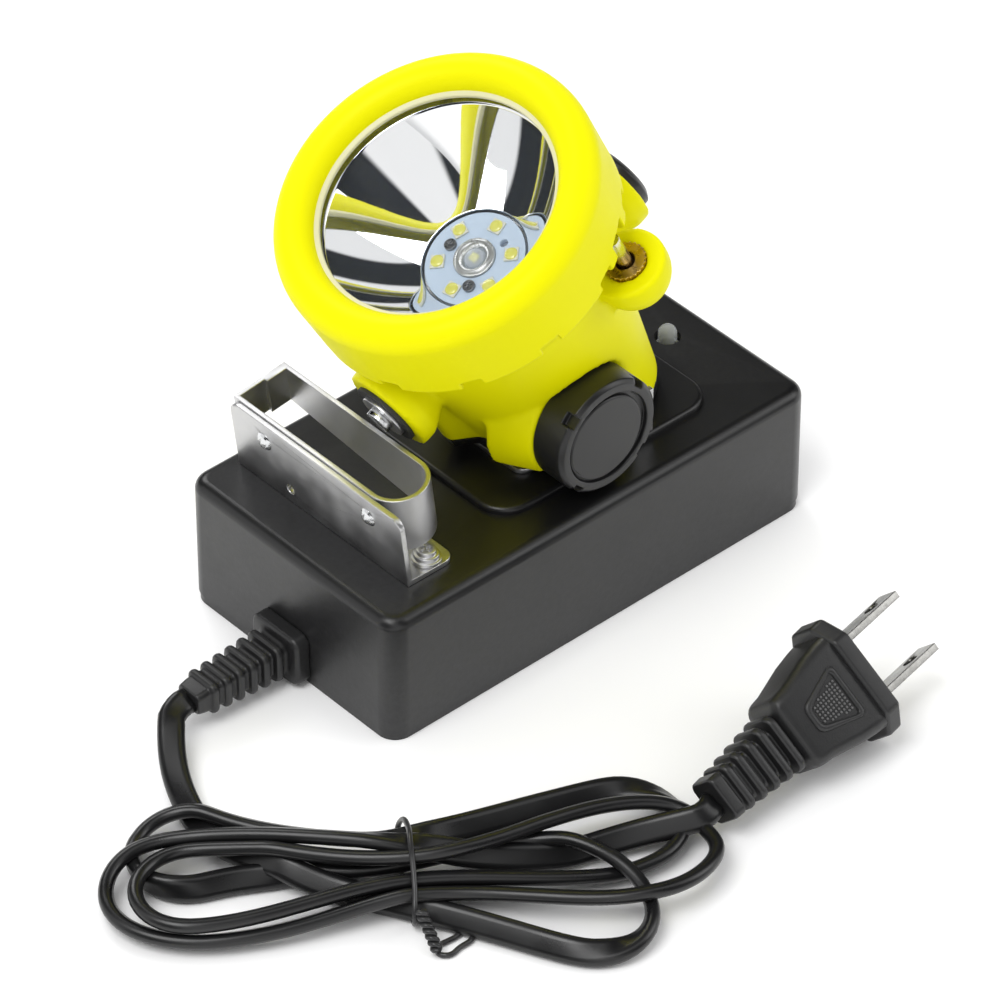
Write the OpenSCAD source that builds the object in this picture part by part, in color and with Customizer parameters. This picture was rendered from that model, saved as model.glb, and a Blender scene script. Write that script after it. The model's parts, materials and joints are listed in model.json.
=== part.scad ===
// Cordless miner's cap lamp standing on its mains charging box.
// Millimetres. Origin: centre of the charging box's underside, +X along the box, +Z up.
// The lamp is drawn in its own frame, whose z is the beam, and tilted onto the seat.

/* [Charging box] */
// Length of the charging box
charger_l = 110; // [92:1:140]
// Width of the charging box
charger_w = 61; // [54:1:80]
// Height of the charging box without its seat
charger_h = 30; // [26:1:45]
// Radius of the box's upright corners
charger_corner = 4.5; // [3:0.5:8]
// Rounding of the box's top edge
charger_fillet = 2.5; // [1:0.5:3]
// Wall of the moulded upper shell
charger_wall = 2; // [1.5:0.1:3]
// Thickness of the base plate
base_t = 2; // [1.5:0.1:3]
// Length of the raised seat under the lamp
seat_l = 57; // [50:1:62]
// Width of the raised seat
seat_w = 43; // [36:1:46]
// Height of the raised seat
seat_h = 1.5; // [1:0.1:2]
// Distance of the seat's near end from the box's centre
seat_start = 19; // [15:1:22]

/* [Charging bracket] */
// Length of the bracket along the box's width
bracket_l = 50; // [44:1:52]
// Height of the leaning plate
bracket_h = 17; // [14:0.5:22]
// Width of the flange screwed to the box
bracket_flange = 12; // [11:0.5:13]
// Sheet thickness of the plate
bracket_t = 1.2; // [1:0.1:1.6]
// Distance of the plate from the box's centre
bracket_x = 44; // [42:0.5:46]
// Lean of the plate away from the lamp, in degrees
bracket_lean = 7; // [0:1:10]
// Strip thickness of the loop
loop_t = 1; // [0.8:0.1:1.4]
// Outside width of the loop, from the plate towards the lamp
loop_w = 13; // [11:0.5:14]
// Height of the loop's strip at its round end
loop_h = 14; // [11:0.5:16]

/* [Lamp] */
// Distance of the lamp's foot from the box's centre
lamp_x = 17; // [14:0.5:19]
// Lean of the lamp's beam from upright, in degrees
lamp_tilt = 28; // [24:1:30]
// Outside radius of the bezel ring
bezel_r = 33; // [31.5:0.5:36]
// Height of the bezel ring
bezel_h = 19.5; // [17:0.5:22]
// Radius of the half-round lip around the lens
lip_r = 4.2; // [3.5:0.1:5]
// Number of gaps in the bezel's skirt
bezel_gaps = 12; // [8:1:16]
// Depth of the gaps in the skirt
gap_h = 2.6; // [1.5:0.1:4]
// Height of the lens seat above the lamp's foot
lens_z = 68; // [66:0.1:70]
// Thickness of the lens
lens_t = 2; // [1.5:0.1:3]
// Outside radius of the housing's neck
neck_r = 28.6; // [28:0.1:29.2]
// Radius of the barrel just under the neck
barrel_top_r = 26.5; // [26:0.1:27.5]
// Radius of the barrel at its foot
barrel_foot_r = 17.8; // [17:0.1:19]
// Wall of the housing
lamp_wall = 2; // [1.6:0.1:2.5]
// Open radius of the reflector
reflector_r = 24.2; // [22:0.1:25]
// Radius of the light-source board
board_r = 10.3; // [10:0.1:11]

/* [Switch knob] */
// Radius of the switch knob
knob_r = 12.5; // [10:0.1:12.8]
// Thickness of the knob
knob_t = 8; // [6:0.1:10]
// Radius of the switch shaft
shaft_r = 3; // [2:0.1:3.5]

/* [Fasteners and fits] */
// Radius of the lock screw, M3
lock_screw_r = 1.5; // [1.25:0.05:2]
// Outside radius of the brass insert
insert_r = 4; // [3:0.1:4.5]
// Running clearance of the shaft and the lock screw
run_gap = 0.05; // [0.02:0.01:0.1]
// Gap under a piece that stands or turns on another
rest_gap = 0.05; // [0.02:0.01:0.2]

/* [Cord and plug] */
// Width of the flat twin cord
cord_w = 5.4; // [4:0.1:6]
// Thickness of the flat twin cord
cord_t = 3; // [2:0.1:3.4]
// Length of the gland's ribbed tail
gland_l = 23; // [20:1:30]
// Height of the gland above the ground
gland_z = 6.5; // [6.5:0.5:10]
// Height of the hank of folded cord
hank_h = 12; // [9:0.5:16]
// Distance between the plug's blades, a two-blade mains plug
blade_pitch = 12.7; // [12.7:0.1:12.8]
// Length of the plug's blades
blade_l = 17; // [16:0.1:18]

/* [Hidden] */
$fn = 48;

case_z = charger_h;                    // top of the box
seat_z = charger_h + seat_h;           // top of the raised seat
inner_h = charger_h - charger_wall;    // underside of the box's roof
bracket_y = 1.5;                       // middle of the bracket across the box
rivet_r = 1.6;
base_screw_r = 1.4;
base_screw_x = charger_l / 2 - 9;
base_screw_y = charger_w / 2 - 9;
boss_r = 3.2;

// Lamp heights, measured along the beam from the lamp's foot
rim_z = lens_z;                        // reflector's bright rim
skirt_z = lens_z + 6.7 - bezel_h;      // rear edge of the bezel's skirt
crest_z = skirt_z + bezel_h;           // front of the bezel
board_z = rim_z - 17.6;                // face of the light-source board
board_t = 1.2;
neck_z = board_z + 1.8;                // where the barrel meets the neck
lens_r = neck_r - 0.2;
lip_gap = 0.4;                         // how much wider the bezel opens than the reflector
flange_rim = 0.8;                      // thickness of the reflector's flange
seal_h = 2.6;                          // seal between the neck and the reflector
barrel_foot_z = -8;
sink_z = board_z - board_t - 6.4;      // rear face of the heat sink
sink_r = barrel_top_r - lamp_wall - 0.9;
ledge_h = 2;                           // ledge that carries the heat sink

// Plates under the lamp, stacked up from the seat
hook_t = 1.2;
hook_space = 0.9;
cover_t = 1.9;
hook_z = seat_z + rest_gap;
cover_z = hook_z + hook_t + hook_space;
body_z = cover_z + cover_t;
hook_w = 42.2;
hook_back = 8;                         // reach of the hook's tongue behind the box's centre
hook_front = 28;
hook_plate_w = 30;
hook_ear_x = [16.5, 21];
hook_ear_h = 10.5;

gap_turn = -12;                        // turn of the skirt's gaps about the beam
knob_x = -6.8;                         // knob's place in the lamp's frame
knob_z = max(18, (knob_r + rest_gap + 0.15 - knob_x * sin(lamp_tilt)) / cos(lamp_tilt));
boss_y = -20.3;                        // outer face of the knob's boss
boss_face_r = knob_r + 0.4;
switch_r = 7.5;
switch_l = 7.4;
switch_y = boss_y + 2.6;

lug_at = [16.5, -25.5];                // lock-screw lug beside the skirt
lug_r = 7.8;
lug_z = skirt_z - 7;
ear_r = 9.5;                           // round bosses at the lamp's bottom and top
ear_low_z = 38.5;
ear_low_x = -31.8;
ear_top_z = 34;
ear_top_x = 32;
terminal_r = 1.7;
stem_r = 2.5;

cell_r = 9.2;
cell_l = 35;
cell_z = 30;

// Cord route, hand-chosen points: charger gland to hank, and hank to plug
lead_points = [[-84, -1, 6.2], [-88.5, -4, 5.2], [-92.5, -8, 4], [-96, -13, 3], [-99, -18.5, 2.4],
    [-101, -23.5, 2.2], [-102.5, -29, 2.2], [-103.5, -34, 2.2]];
tail_points = [[-34, -87.2, 3.6], [-31.5, -87.8, 4.2], [-28.5, -88.2, 5.6], [-25.5, -88.5, 7],
    [-23.5, -88.3, 7.4]];
gland_y = 0.5;
gland_end = 2;                         // plain end of the gland's tail
gland_bore_r = 4;
hank_at = [-78, -60];
hank_turn = -27;
plug_at = [13, -84.5, 12.6];            // middle of the plug's flange
plug_turn = 6;
plug_pitch = 8;
plug_roll = 44;
plug_l = 20;
flange_l = 26;
flange_w = 16.5;
flange_t = 4;
plug_ribs = 5;
plug_rib_pitch = 3.4;
plug_end = 2;                          // plain end of the plug's tail

// ---------- shared shapes ----------

module rounded_rect(l, w, r) {
    square([l - 2 * r, w], center = true);
    square([l, w - 2 * r], center = true);
    for (x = [-1, 1], y = [-1, 1]) translate([x * (l / 2 - r), y * (w / 2 - r)]) circle(r);
}

module chamfered_rect(l, w, c) {
    polygon([[l / 2, w / 2 - c], [l / 2 - c, w / 2], [c - l / 2, w / 2], [-l / 2, w / 2 - c],
        [-l / 2, c - w / 2], [c - l / 2, -w / 2], [l / 2 - c, -w / 2], [l / 2, c - w / 2]]);
}

module rounded_prism(l, w, r, h) {
    linear_extrude(h) rounded_rect(l, w, r);
}

module soft_top_box(l, w, h, r, edge) {
    hull() for (x = [-1, 1], y = [-1, 1]) translate([x * (l / 2 - r), y * (w / 2 - r), 0]) {
        cylinder(h = h - edge, r = r, $fn = 32);
        translate([0, 0, h - edge]) rotate_extrude($fn = 32) intersection() {
            union() {
                square([r - edge, edge]);
                translate([r - edge, 0]) circle(edge, $fn = 32);
            }
            square([r, edge]);
        }
    }
}

module tube(r_out, r_in, h) {
    difference() {
        cylinder(h = h, r = r_out);
        translate([0, 0, -1]) cylinder(h = h + 2, r = r_in);
    }
}

module slotted_head(r, h, slot_w) {
    difference() {
        cylinder(h = h, r = r);
        translate([-r - 1, -slot_w / 2, h * 0.4]) cube([2 * r + 2, slot_w, h]);
    }
}

module cross_head(r, h, slot_w) {
    difference() {
        cylinder(h = h, r = r);
        for (a = [0, 90]) rotate(a) translate([-r * 0.6, -slot_w / 2, h * 0.35])
            cube([r * 1.2, slot_w, h]);
    }
}

module on_lamp() {
    translate([lamp_x, 0, seat_z]) rotate([0, -lamp_tilt, 0]) children();
}

module along_knob(y) {
    on_lamp() translate([knob_x, y, knob_z]) rotate([90, 0, 0]) children();
}

module above(z) {
    intersection() {
        children();
        translate([-60, -60, z]) cube([160, 120, 150]);
    }
}

module slab(z, h) {
    intersection() {
        children();
        translate([-60, -60, z]) cube([160, 120, h]);
    }
}

// ---------- charging box ----------

module case_posts(r, h) {
    for (x = [-1, 1], y = [-1, 1]) translate([x * base_screw_x, y * base_screw_y, base_t])
        cylinder(h = h, r = r);
}

module charger_case() {
    led_hole_r = 2.7;
    color("#1c1c1d") difference() {
        union() {
            difference() {
                translate([0, 0, base_t])
                    soft_top_box(charger_l, charger_w, charger_h - base_t, charger_corner,
                        charger_fillet);
                translate([0, 0, base_t - 1]) rounded_prism(charger_l - 2 * charger_wall,
                    charger_w - 2 * charger_wall, charger_corner - charger_wall / 2,
                    inner_h - base_t + 1);
            }
            translate([seat_l / 2 - seat_start, 0, inner_h])
                soft_top_box(seat_l, seat_w, seat_z - inner_h, 7, 1);
            case_posts(boss_r, inner_h - base_t + 0.5);
        }
        translate([seat_l - seat_start + 6.6, 0, inner_h - 1]) cylinder(h = 10, r = led_hole_r);
        translate([0, 0, -1]) case_posts(base_screw_r, 13);
        for (y = [-1, 1]) translate([flange_x(), bracket_y + y * flange_screw_y, inner_h - 1])
            cylinder(h = 10, r = 1.5);
        translate([-charger_l / 2 - 1, gland_y, gland_z]) rotate([0, 90, 0])
            cylinder(h = 6, r = gland_bore_r);
    }
}

module charger_base() {
    color("#202021") difference() {
        rounded_prism(charger_l - 0.6, charger_w - 0.6, charger_corner - 0.3, base_t);
        for (x = [-1, 1], y = [-1, 1]) translate([x * base_screw_x, y * base_screw_y, 0]) {
            translate([0, 0, -1]) cylinder(h = 5, r = base_screw_r + 0.2);
            translate([0, 0, -1]) cylinder(h = 2, r = 2.8);
        }
    }
}

module base_screws() {
    color("#8d8f90") for (x = [-1, 1], y = [-1, 1])
        translate([x * base_screw_x, y * base_screw_y, 1]) {
            mirror([0, 0, 1]) cross_head(2.6, 0.8, 0.7);
            cylinder(h = 9, r = base_screw_r);
        }
}

board_x = -8;
board_l = 74;
board_w = 34;
board_z0 = base_t + 3;

module charger_board() {
    color("#2f7d4a") {
        translate([board_x, 0, board_z0]) linear_extrude(1.6) difference() {
            rounded_rect(board_l, board_w, 2);
            for (x = [-1, 1]) translate([x * (board_l / 2 - 4), 0]) circle(1.6);
        }
        for (x = [-1, 1]) translate([board_x + x * (board_l / 2 - 4), 0, base_t])
            cylinder(h = board_z0 - base_t, r = 3);
    }
}

module transformer_core() {
    color("#3a3a3c") translate([board_x - 14, 2, board_z0 + 1.6]) difference() {
        translate([-10, -8, 0]) cube([20, 16, 16]);
        translate([-6.5, -9, 3]) cube([13, 18, 10]);
    }
}

module transformer_coil() {
    color("#d9a23c") translate([board_x - 14, 2, board_z0 + 4.6]) difference() {
        translate([-6.5, -10, 0]) cube([13, 20, 10]);
        translate([-2, -12, 3]) cube([4, 24, 4]);
    }
}

module capacitors() {
    color("#27406e") {
        translate([board_x + 10, 9, board_z0 + 1.6]) cylinder(h = 16, r = 5);
        translate([board_x + 23, 9, board_z0 + 1.6]) cylinder(h = 13, r = 4);
        translate([board_x + 10, -9, board_z0 + 1.6]) cylinder(h = 12, r = 4);
    }
}

module power_transistor() {
    color("#2a2a2b") translate([board_x + 23, -9, board_z0 + 1.6]) {
        translate([-5, -2.3, 3]) cube([10, 4.6, 9]);
        for (x = [-2.5, 0, 2.5]) translate([x - 0.4, -0.4, 0]) cube([0.8, 0.8, 3]);
    }
}

module indicator_led() {
    led_r = 1.95;
    color("#e8edf0") translate([seat_l - seat_start + 6.6, 0, 0]) {
        translate([0, 0, inner_h - 2.5]) cylinder(h = 2.5, r = 2.5);
        translate([0, 0, inner_h]) cylinder(h = charger_wall + 0.9, r = led_r);
        translate([0, 0, case_z + 0.9]) sphere(led_r);
        for (x = [-1.3, 1.3]) translate([x, 0, board_z0 + 1.6 + 7]) cylinder(h = 12, r = 0.3);
    }
}

// ---------- charging bracket ----------

flange_screw_y = bracket_l / 2 - 3;
function flange_x() = -bracket_x + bracket_flange / 2 + 0.6;

module lean() {
    translate([-bracket_x, bracket_y, case_z]) rotate([0, -bracket_lean, 0]) children();
}

module bracket_plate() {
    r = 2.5;
    color("#b9bcbe") {
        difference() {
            union() {
                lean() rotate([90, 0, 90]) translate([0, 0, -bracket_t / 2])
                    linear_extrude(bracket_t) {
                        translate([-bracket_l / 2, 0]) square([bracket_l, bracket_h - r]);
                        translate([-bracket_l / 2 + r, 0]) square([bracket_l - 2 * r, bracket_h]);
                        for (y = [-1, 1]) translate([y * (bracket_l / 2 - r), bracket_h - r])
                            circle(r);
                    }
                translate([-bracket_x - bracket_t / 2, bracket_y, case_z]) linear_extrude(bracket_t) {
                    translate([0, -bracket_l / 2]) square([bracket_flange - r, bracket_l]);
                    translate([0, -bracket_l / 2 + r]) square([bracket_flange, bracket_l - 2 * r]);
                    for (y = [-1, 1]) translate([bracket_flange - r, y * (bracket_l / 2 - r)])
                        circle(r);
                }
            }
            translate([-60, -60, case_z - 5]) cube([60, 120, 5]);
            for (y = [-1, 1]) translate([flange_x(), bracket_y + y * flange_screw_y, case_z - 1])
                cylinder(h = 4, r = 1.7);
            rivets(rivet_r, 8, true);
        }
    }
}

rivet_y = 15.2;
rivet_z = 12.4;
rivet_head_r = 2.2;

module rivets(r, l, low) {
    lean() {
        for (y = [-1, 1]) translate([-l / 2, y * rivet_y, rivet_z]) rotate([0, 90, 0])
            cylinder(h = l, r = r);
        if (low) translate([-l / 2, 9, 3.6]) rotate([0, 90, 0]) cylinder(h = l, r = r * 0.7);
    }
}

module loop_outline(grow) {
    round_r = loop_w / 2;
    end_y = bracket_l / 2;
    offset_w = round_r - grow;
    translate([round_r, -end_y + round_r + 3]) circle(offset_w);
    translate([grow, -end_y + round_r + 3])
        square([2 * offset_w, 2 * end_y - round_r - 3 - grow]);
}

module bracket_loop() {
    low_z = 3.4;
    rake = 6;
    color("#c9cccd") difference() {
        union() {
            difference() {
                lean() translate([bracket_t / 2, 0, low_z]) linear_extrude(loop_h) loop_outline(0);
                lean() translate([bracket_t / 2, 0, low_z - 1]) linear_extrude(loop_h + 2)
                    loop_outline(loop_t);
            }
            lean() translate([bracket_t / 2 + loop_w * 0.55, bracket_l / 2 - loop_t - 0.8, low_z + 1])
                cube([loop_w * 0.45 - loop_t / 2, 0.9, loop_h - 1]);
        }
        lean() translate([-5, -bracket_l / 2 - 5, low_z - 6]) rotate([rake, 0, 0])
            cube([loop_w + 10, bracket_l + 10, 6]);
        rivets(rivet_r, 8, false);
        lean() for (y = [-1, 1]) translate([bracket_t / 2 + loop_t, y * rivet_y, rivet_z])
            rotate([0, 90, 0]) cylinder(h = 1, r = rivet_head_r + 0.1);
    }
}

module bracket_rivets() {
    grip = bracket_t / 2 + loop_t;
    color("#d8dadb") lean() {
        for (y = [-1, 1]) translate([0, y * rivet_y, rivet_z]) rotate([0, 90, 0]) {
            translate([0, 0, -bracket_t / 2]) cylinder(h = bracket_t / 2 + grip, r = rivet_r);
            translate([0, 0, -bracket_t / 2 - 0.6]) cylinder(h = 0.6, r1 = 1.3, r2 = 2.1);
            translate([0, 0, grip]) cylinder(h = 0.5, r1 = rivet_head_r, r2 = 1.5);
        }
    }
}

module bracket_screws() {
    color("#d2d4d5") for (y = [-1, 1])
        translate([flange_x(), bracket_y + y * flange_screw_y, case_z + bracket_t]) {
            tube(3, 1.5, 0.8);
            translate([0, 0, 0.8]) cylinder(h = 0.9, r = 2.5);
            translate([0, 0, 1.7]) cross_head(1.9, 0.9, 0.6);
            translate([0, 0, -4.2]) cylinder(h = 5.2, r = 1.5);
        }
}

// ---------- cord, gland and plug ----------

module cord_gland() {
    ribs = 5;
    pitch = gland_l / (ribs + 0.2);
    color("#161617") translate([-charger_l / 2, gland_y, gland_z]) rotate([0, -90, 0]) {
        linear_extrude(3) rounded_rect(10, 12, 2.2);
        translate([0, 0, -charger_wall]) cylinder(h = charger_wall + 1, r = gland_bore_r);
        translate([0, 0, -charger_wall - 1.5]) cylinder(h = 1.5, r = gland_bore_r + 0.3);
        cylinder(h = gland_l + gland_end, r = 3.5);
        for (i = [0 : ribs - 1]) translate([0, 0, 5 + i * pitch])
            cylinder(h = pitch * 0.55, r1 = 5.4 - i * 0.2, r2 = 5.1 - i * 0.2);
    }
}

function unit(v) = v / norm(v);
function bend_side(p, i, n) =
    let (a = p[max(i - 1, 0)], b = p[min(i + 1, n - 1)], d = b - a)
    unit([-d[1], d[0], 0]);
function bend_up(p, i, n) =
    let (a = p[max(i - 1, 0)], b = p[min(i + 1, n - 1)])
    unit(cross(b - a, bend_side(p, i, n)));
function ring_points(p, sides) = [for (i = [0 : len(p) - 1], k = [0 : sides - 1])
    let (s = bend_side(p, i, len(p)), u = bend_up(p, i, len(p)))
    p[i] + s * cord_w / 2 * cos(360 * k / sides) + u * cord_t / 2 * sin(360 * k / sides)];

module swept_cord(p, sides = 8) {
    n = len(p);
    side_faces = [for (i = [0 : n - 2], k = [0 : sides - 1])
        [i * sides + k, (i + 1) * sides + k, (i + 1) * sides + (k + 1) % sides,
            i * sides + (k + 1) % sides]];
    first = [for (k = [0 : sides - 1]) k];
    last = [for (k = [0 : sides - 1]) n * sides - 1 - k];
    polyhedron(ring_points(p, sides), concat(side_faces, [first], [last]), convexity = 6);
}

function curve_at(p, i, t) =
    let (n = len(p), a = p[max(i - 1, 0)], b = p[i], c = p[i + 1], d = p[min(i + 2, n - 1)])
    0.5 * (2 * b + (c - a) * t + (2 * a - 5 * b + 4 * c - d) * t * t
        + (3 * b - a - 3 * c + d) * t * t * t);
function smooth(p, steps) = concat([for (i = [0 : len(p) - 2], k = [0 : steps - 1])
    curve_at(p, i, k / steps)], [p[len(p) - 1]]);

module cord_lead() {
    end_x = -charger_l / 2 - gland_l - gland_end;
    start = [[end_x, gland_y, gland_z], [end_x - 1.5, gland_y, gland_z]];
    color("#141415") swept_cord(smooth(concat(start, lead_points), 2));
}

module hank_outline() {
    left = [-43, 4];
    right = [41, -3];
    low = [29, -18];
    waist = 10.5;
    hull() {
        translate(left) circle(18.5, $fn = 32);
        translate([-4, 1.5]) square([2, 2 * waist], center = true);
    }
    hull() {
        translate([-4, 1.5]) square([2, 2 * waist], center = true);
        translate([4, 1.5]) square([2, 2 * waist], center = true);
    }
    hull() {
        translate([4, 1.5]) square([2, 2 * waist], center = true);
        translate(right) circle(16, $fn = 32);
        translate(low) circle(17.5, $fn = 32);
    }
}

module on_hank() {
    translate([hank_at[0], hank_at[1], 0]) rotate(hank_turn) children();
}

module cord_hank() {
    color("#141415") on_hank() linear_extrude(hank_h) hank_outline();
}

module cord_tail() {
    color("#141415") swept_cord(smooth(tail_points, 4));
}

module cord_tie() {
    wire = 1.6;
    color("#111112") on_hank() difference() {
        translate([-1, -9 - wire, 0.1]) cube([2, 21 + 2 * wire, hank_h + wire - 0.1]);
        translate([-2, -9, -1]) cube([4, 21, hank_h + 1]);
    }
}

module on_plug() {
    translate(plug_at) rotate([0, 0, plug_turn]) rotate([0, 90 - plug_pitch, 0])
        rotate([0, 0, 90 + plug_roll]) children();
}

module plug_body() {
    color("#18181a") on_plug() {
        linear_extrude(flange_t, center = true) chamfered_rect(flange_l, flange_w, 4.5);
        hull() {
            translate([0, 0, -3]) linear_extrude(1.1) rounded_rect(22, 13.5, 3, $fn = 24);
            translate([0, 0, -plug_l]) linear_extrude(1) rounded_rect(12, 10, 2, $fn = 24);
        }
        for (i = [0 : plug_ribs - 1]) translate([0, 0, -plug_l - (i + 1) * plug_rib_pitch])
            linear_extrude(plug_rib_pitch * 0.62)
                rounded_rect(11.4 - i * 0.35, 9.2 - i * 0.35, 1.6);
        translate([0, 0, -plug_l - plug_ribs * plug_rib_pitch - plug_end])
            linear_extrude(plug_ribs * plug_rib_pitch + 2 * plug_end)
                rounded_rect(7.4, 6.2, 1.2);
    }
}

module plug_blades() {
    hole_r = 1.6;
    color("#c4b98e") on_plug() for (x = [-1, 1])
        translate([x * blade_pitch / 2, 0, flange_t / 2]) difference() {
            translate([-0.75, -3.15, 0]) cube([1.5, 6.3, blade_l]);
            translate([-2, 0, blade_l - 5]) rotate([0, 90, 0]) cylinder(h = 4, r = hole_r);
            for (y = [-1, 1]) translate([-2, y * 3.15, blade_l]) rotate([45, 0, 0])
                cube([4, 2.2, 2.2], center = false);
        }
}

// ---------- lamp ----------

module barrel(inset) {
    z0 = barrel_foot_z - 4;
    slope = (barrel_top_r - barrel_foot_r) / (neck_z - barrel_foot_z);
    translate([0, 0, z0]) cylinder(h = neck_z - z0, r1 = barrel_foot_r - 4 * slope - inset,
        r2 = barrel_top_r - inset);
}

module keel(inset) {
    tip = barrel_top_r - 0.9 - inset;
    linear_extrude(neck_z - 4) polygon([[-tip, 1.3 - inset / 2], [-12, 10 - inset],
        [-12, -10 + inset], [-tip, -1.3 + inset / 2]]);
}

module knob_boss(r_face, r_root, depth) {
    translate([knob_x, boss_y + depth, knob_z]) rotate([90, 0, 0])
        cylinder(h = depth, r1 = r_root, r2 = r_face);
}

module housing_outside() {
    on_lamp() {
        barrel(0);
        keel(0);
        translate([0, 0, neck_z]) cylinder(h = rim_z - flange_rim - seal_h - neck_z, r = neck_r);
        translate([0, 0, neck_z - 3]) cylinder(h = 3, r1 = barrel_top_r - 0.6, r2 = neck_r);
        knob_boss(boss_face_r, boss_face_r + 4.2, 9);
        translate([ear_low_x, 0, ear_low_z]) rotate([0, 90, 0]) cylinder(h = 3.4, r = ear_r);
        translate([ear_low_x + 3.4, 0, ear_low_z]) rotate([0, 90, 0])
            cylinder(h = 8, r1 = ear_r, r2 = 5);
        translate([ear_top_x - 3.6, 0, ear_top_z]) rotate([0, 90, 0]) cylinder(h = 3.6, r = ear_r);
        translate([ear_top_x - 11, 0, ear_top_z]) rotate([0, 90, 0])
            cylinder(h = 7.5, r1 = 6, r2 = ear_r);
        translate([lug_at[0], lug_at[1], lug_z - 3]) {
            cylinder(h = 3, r = lug_r);
            intersection() {
                sphere(lug_r);
                translate([0, 0, -lug_r]) cube(2 * lug_r, center = true);
            }
        }
        translate([lug_at[0] * 0.8, lug_at[1] * 0.8, lug_z - 13]) cylinder(h = 13, r1 = 3, r2 = 6.5);
    }
}

module housing_inside() {
    on_lamp() {
        intersection() {
            barrel(lamp_wall);
            translate([-50, -50, -30]) cube([100, 100, sink_z + 30 - ledge_h]);
        }
        translate([0, 0, sink_z - ledge_h - 1]) cylinder(h = ledge_h + 2, r = sink_r - 1.6);
        translate([0, 0, sink_z]) cylinder(h = 40, r = sink_r + 0.1);
        translate([0, 0, board_z + 2]) cylinder(h = 40, r = neck_r - 2.2);
        translate([lug_at[0], lug_at[1], lug_z - 11]) cylinder(h = 20, r = insert_r);
        translate([ear_low_x - 1, 0, ear_low_z]) rotate([0, 90, 0])
            cylinder(h = 9, r = terminal_r);
        translate([ear_top_x - 8, 0, ear_top_z]) rotate([0, 90, 0]) cylinder(h = 9, r = stem_r);
    }
    along_knob(boss_y) cylinder(h = 12, r = boss_face_r);
    along_knob(boss_y + 3) cylinder(h = 6, r = shaft_r + run_gap);
    along_knob(boss_y + 1.5) cylinder(h = 3, r = 4.8);
    along_knob(switch_y + 12) cylinder(h = 12, r = switch_r + 0.1);
}

module lamp_housing() {
    color("#f2ee00") difference() {
        union() {
            difference() {
                above(body_z) housing_outside();
                housing_inside();
            }
            intersection() {
                for (p = cover_screw_spots) translate([p[0], p[1], body_z])
                    cylinder(h = 3.2, r = post_r);
                on_lamp() barrel(0.1);
            }
        }
        cover_screw_bores(1.2, 5);
    }
}

post_r = 2.6;
cover_screw_spots = [[-5, 9], [-5, -9], [26.5, 10.6], [26.5, -10.6]];

module cover_screw_bores(r, depth) {
    for (p = cover_screw_spots) translate([p[0], p[1], cover_z - 1]) cylinder(h = depth + 3, r = r);
}

module rear_cover() {
    color("#19191a") difference() {
        slab(cover_z, cover_t) on_lamp() {
            barrel(0.3);
            keel(0.3);
        }
        cover_screw_bores(1.2, 5);
        for (p = cover_screw_spots) translate([p[0], p[1], cover_z - 1]) cylinder(h = 2, r = 2.3);
        hook_screw_bores(1.2, 2);
    }
}

module cover_seal() {
    color("#2b2b2c") difference() {
        slab(body_z, 0.8) on_lamp() barrel(lamp_wall);
        slab(body_z - 1, 4) on_lamp() barrel(lamp_wall + 1.2);
        for (p = cover_screw_spots) translate([p[0], p[1], body_z - 1]) cylinder(h = 3, r = post_r + 0.1);
    }
}

module cover_screws() {
    color("#a9abad") for (p = cover_screw_spots) translate([p[0], p[1], cover_z]) {
        translate([0, 0, 1]) mirror([0, 0, 1]) cross_head(2.2, 1, 0.6);
        cylinder(h = 4.8, r = 1.2);
    }
}

hook_screw_spots = [[8, 6], [8, -6], [19, 0]];

module hook_screw_bores(r, depth) {
    for (p = hook_screw_spots) translate([p[0], p[1], hook_z - 1]) cylinder(h = depth + 3, r = r);
}

module hat_hook() {
    r = 3;
    color("#a7aaac") difference() {
        union() {
            translate([(hook_front - hook_back) / 2, 0, hook_z])
                rounded_prism(hook_front + hook_back, hook_plate_w, r, hook_t);
            translate([hook_ear_x[0], -hook_w / 2, hook_z])
                cube([hook_ear_x[1] - hook_ear_x[0], hook_w, hook_t]);
            for (y = [-1, 1]) translate([hook_ear_x[0], y > 0 ? hook_w / 2 - hook_t : -hook_w / 2,
                hook_z]) cube([hook_ear_x[1] - hook_ear_x[0], hook_t, hook_ear_h]);
            translate([5, -9, hook_z + hook_t]) cube([17, 18, hook_space]);
        }
        hook_screw_bores(1.2, 5);
        for (p = hook_screw_spots) translate([p[0], p[1], hook_z - 1]) cylinder(h = 1.8, r = 2.2);
        above(cover_z) on_lamp() barrel(-0.05);
    }
}

module hook_screws() {
    color("#b4b6b8") for (p = hook_screw_spots) translate([p[0], p[1], hook_z]) {
        translate([0, 0, 0.8]) mirror([0, 0, 1]) cross_head(2.1, 0.7, 0.6);
        translate([0, 0, 0.2]) cylinder(h = 3.6, r = 1.2);
    }
}

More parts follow.
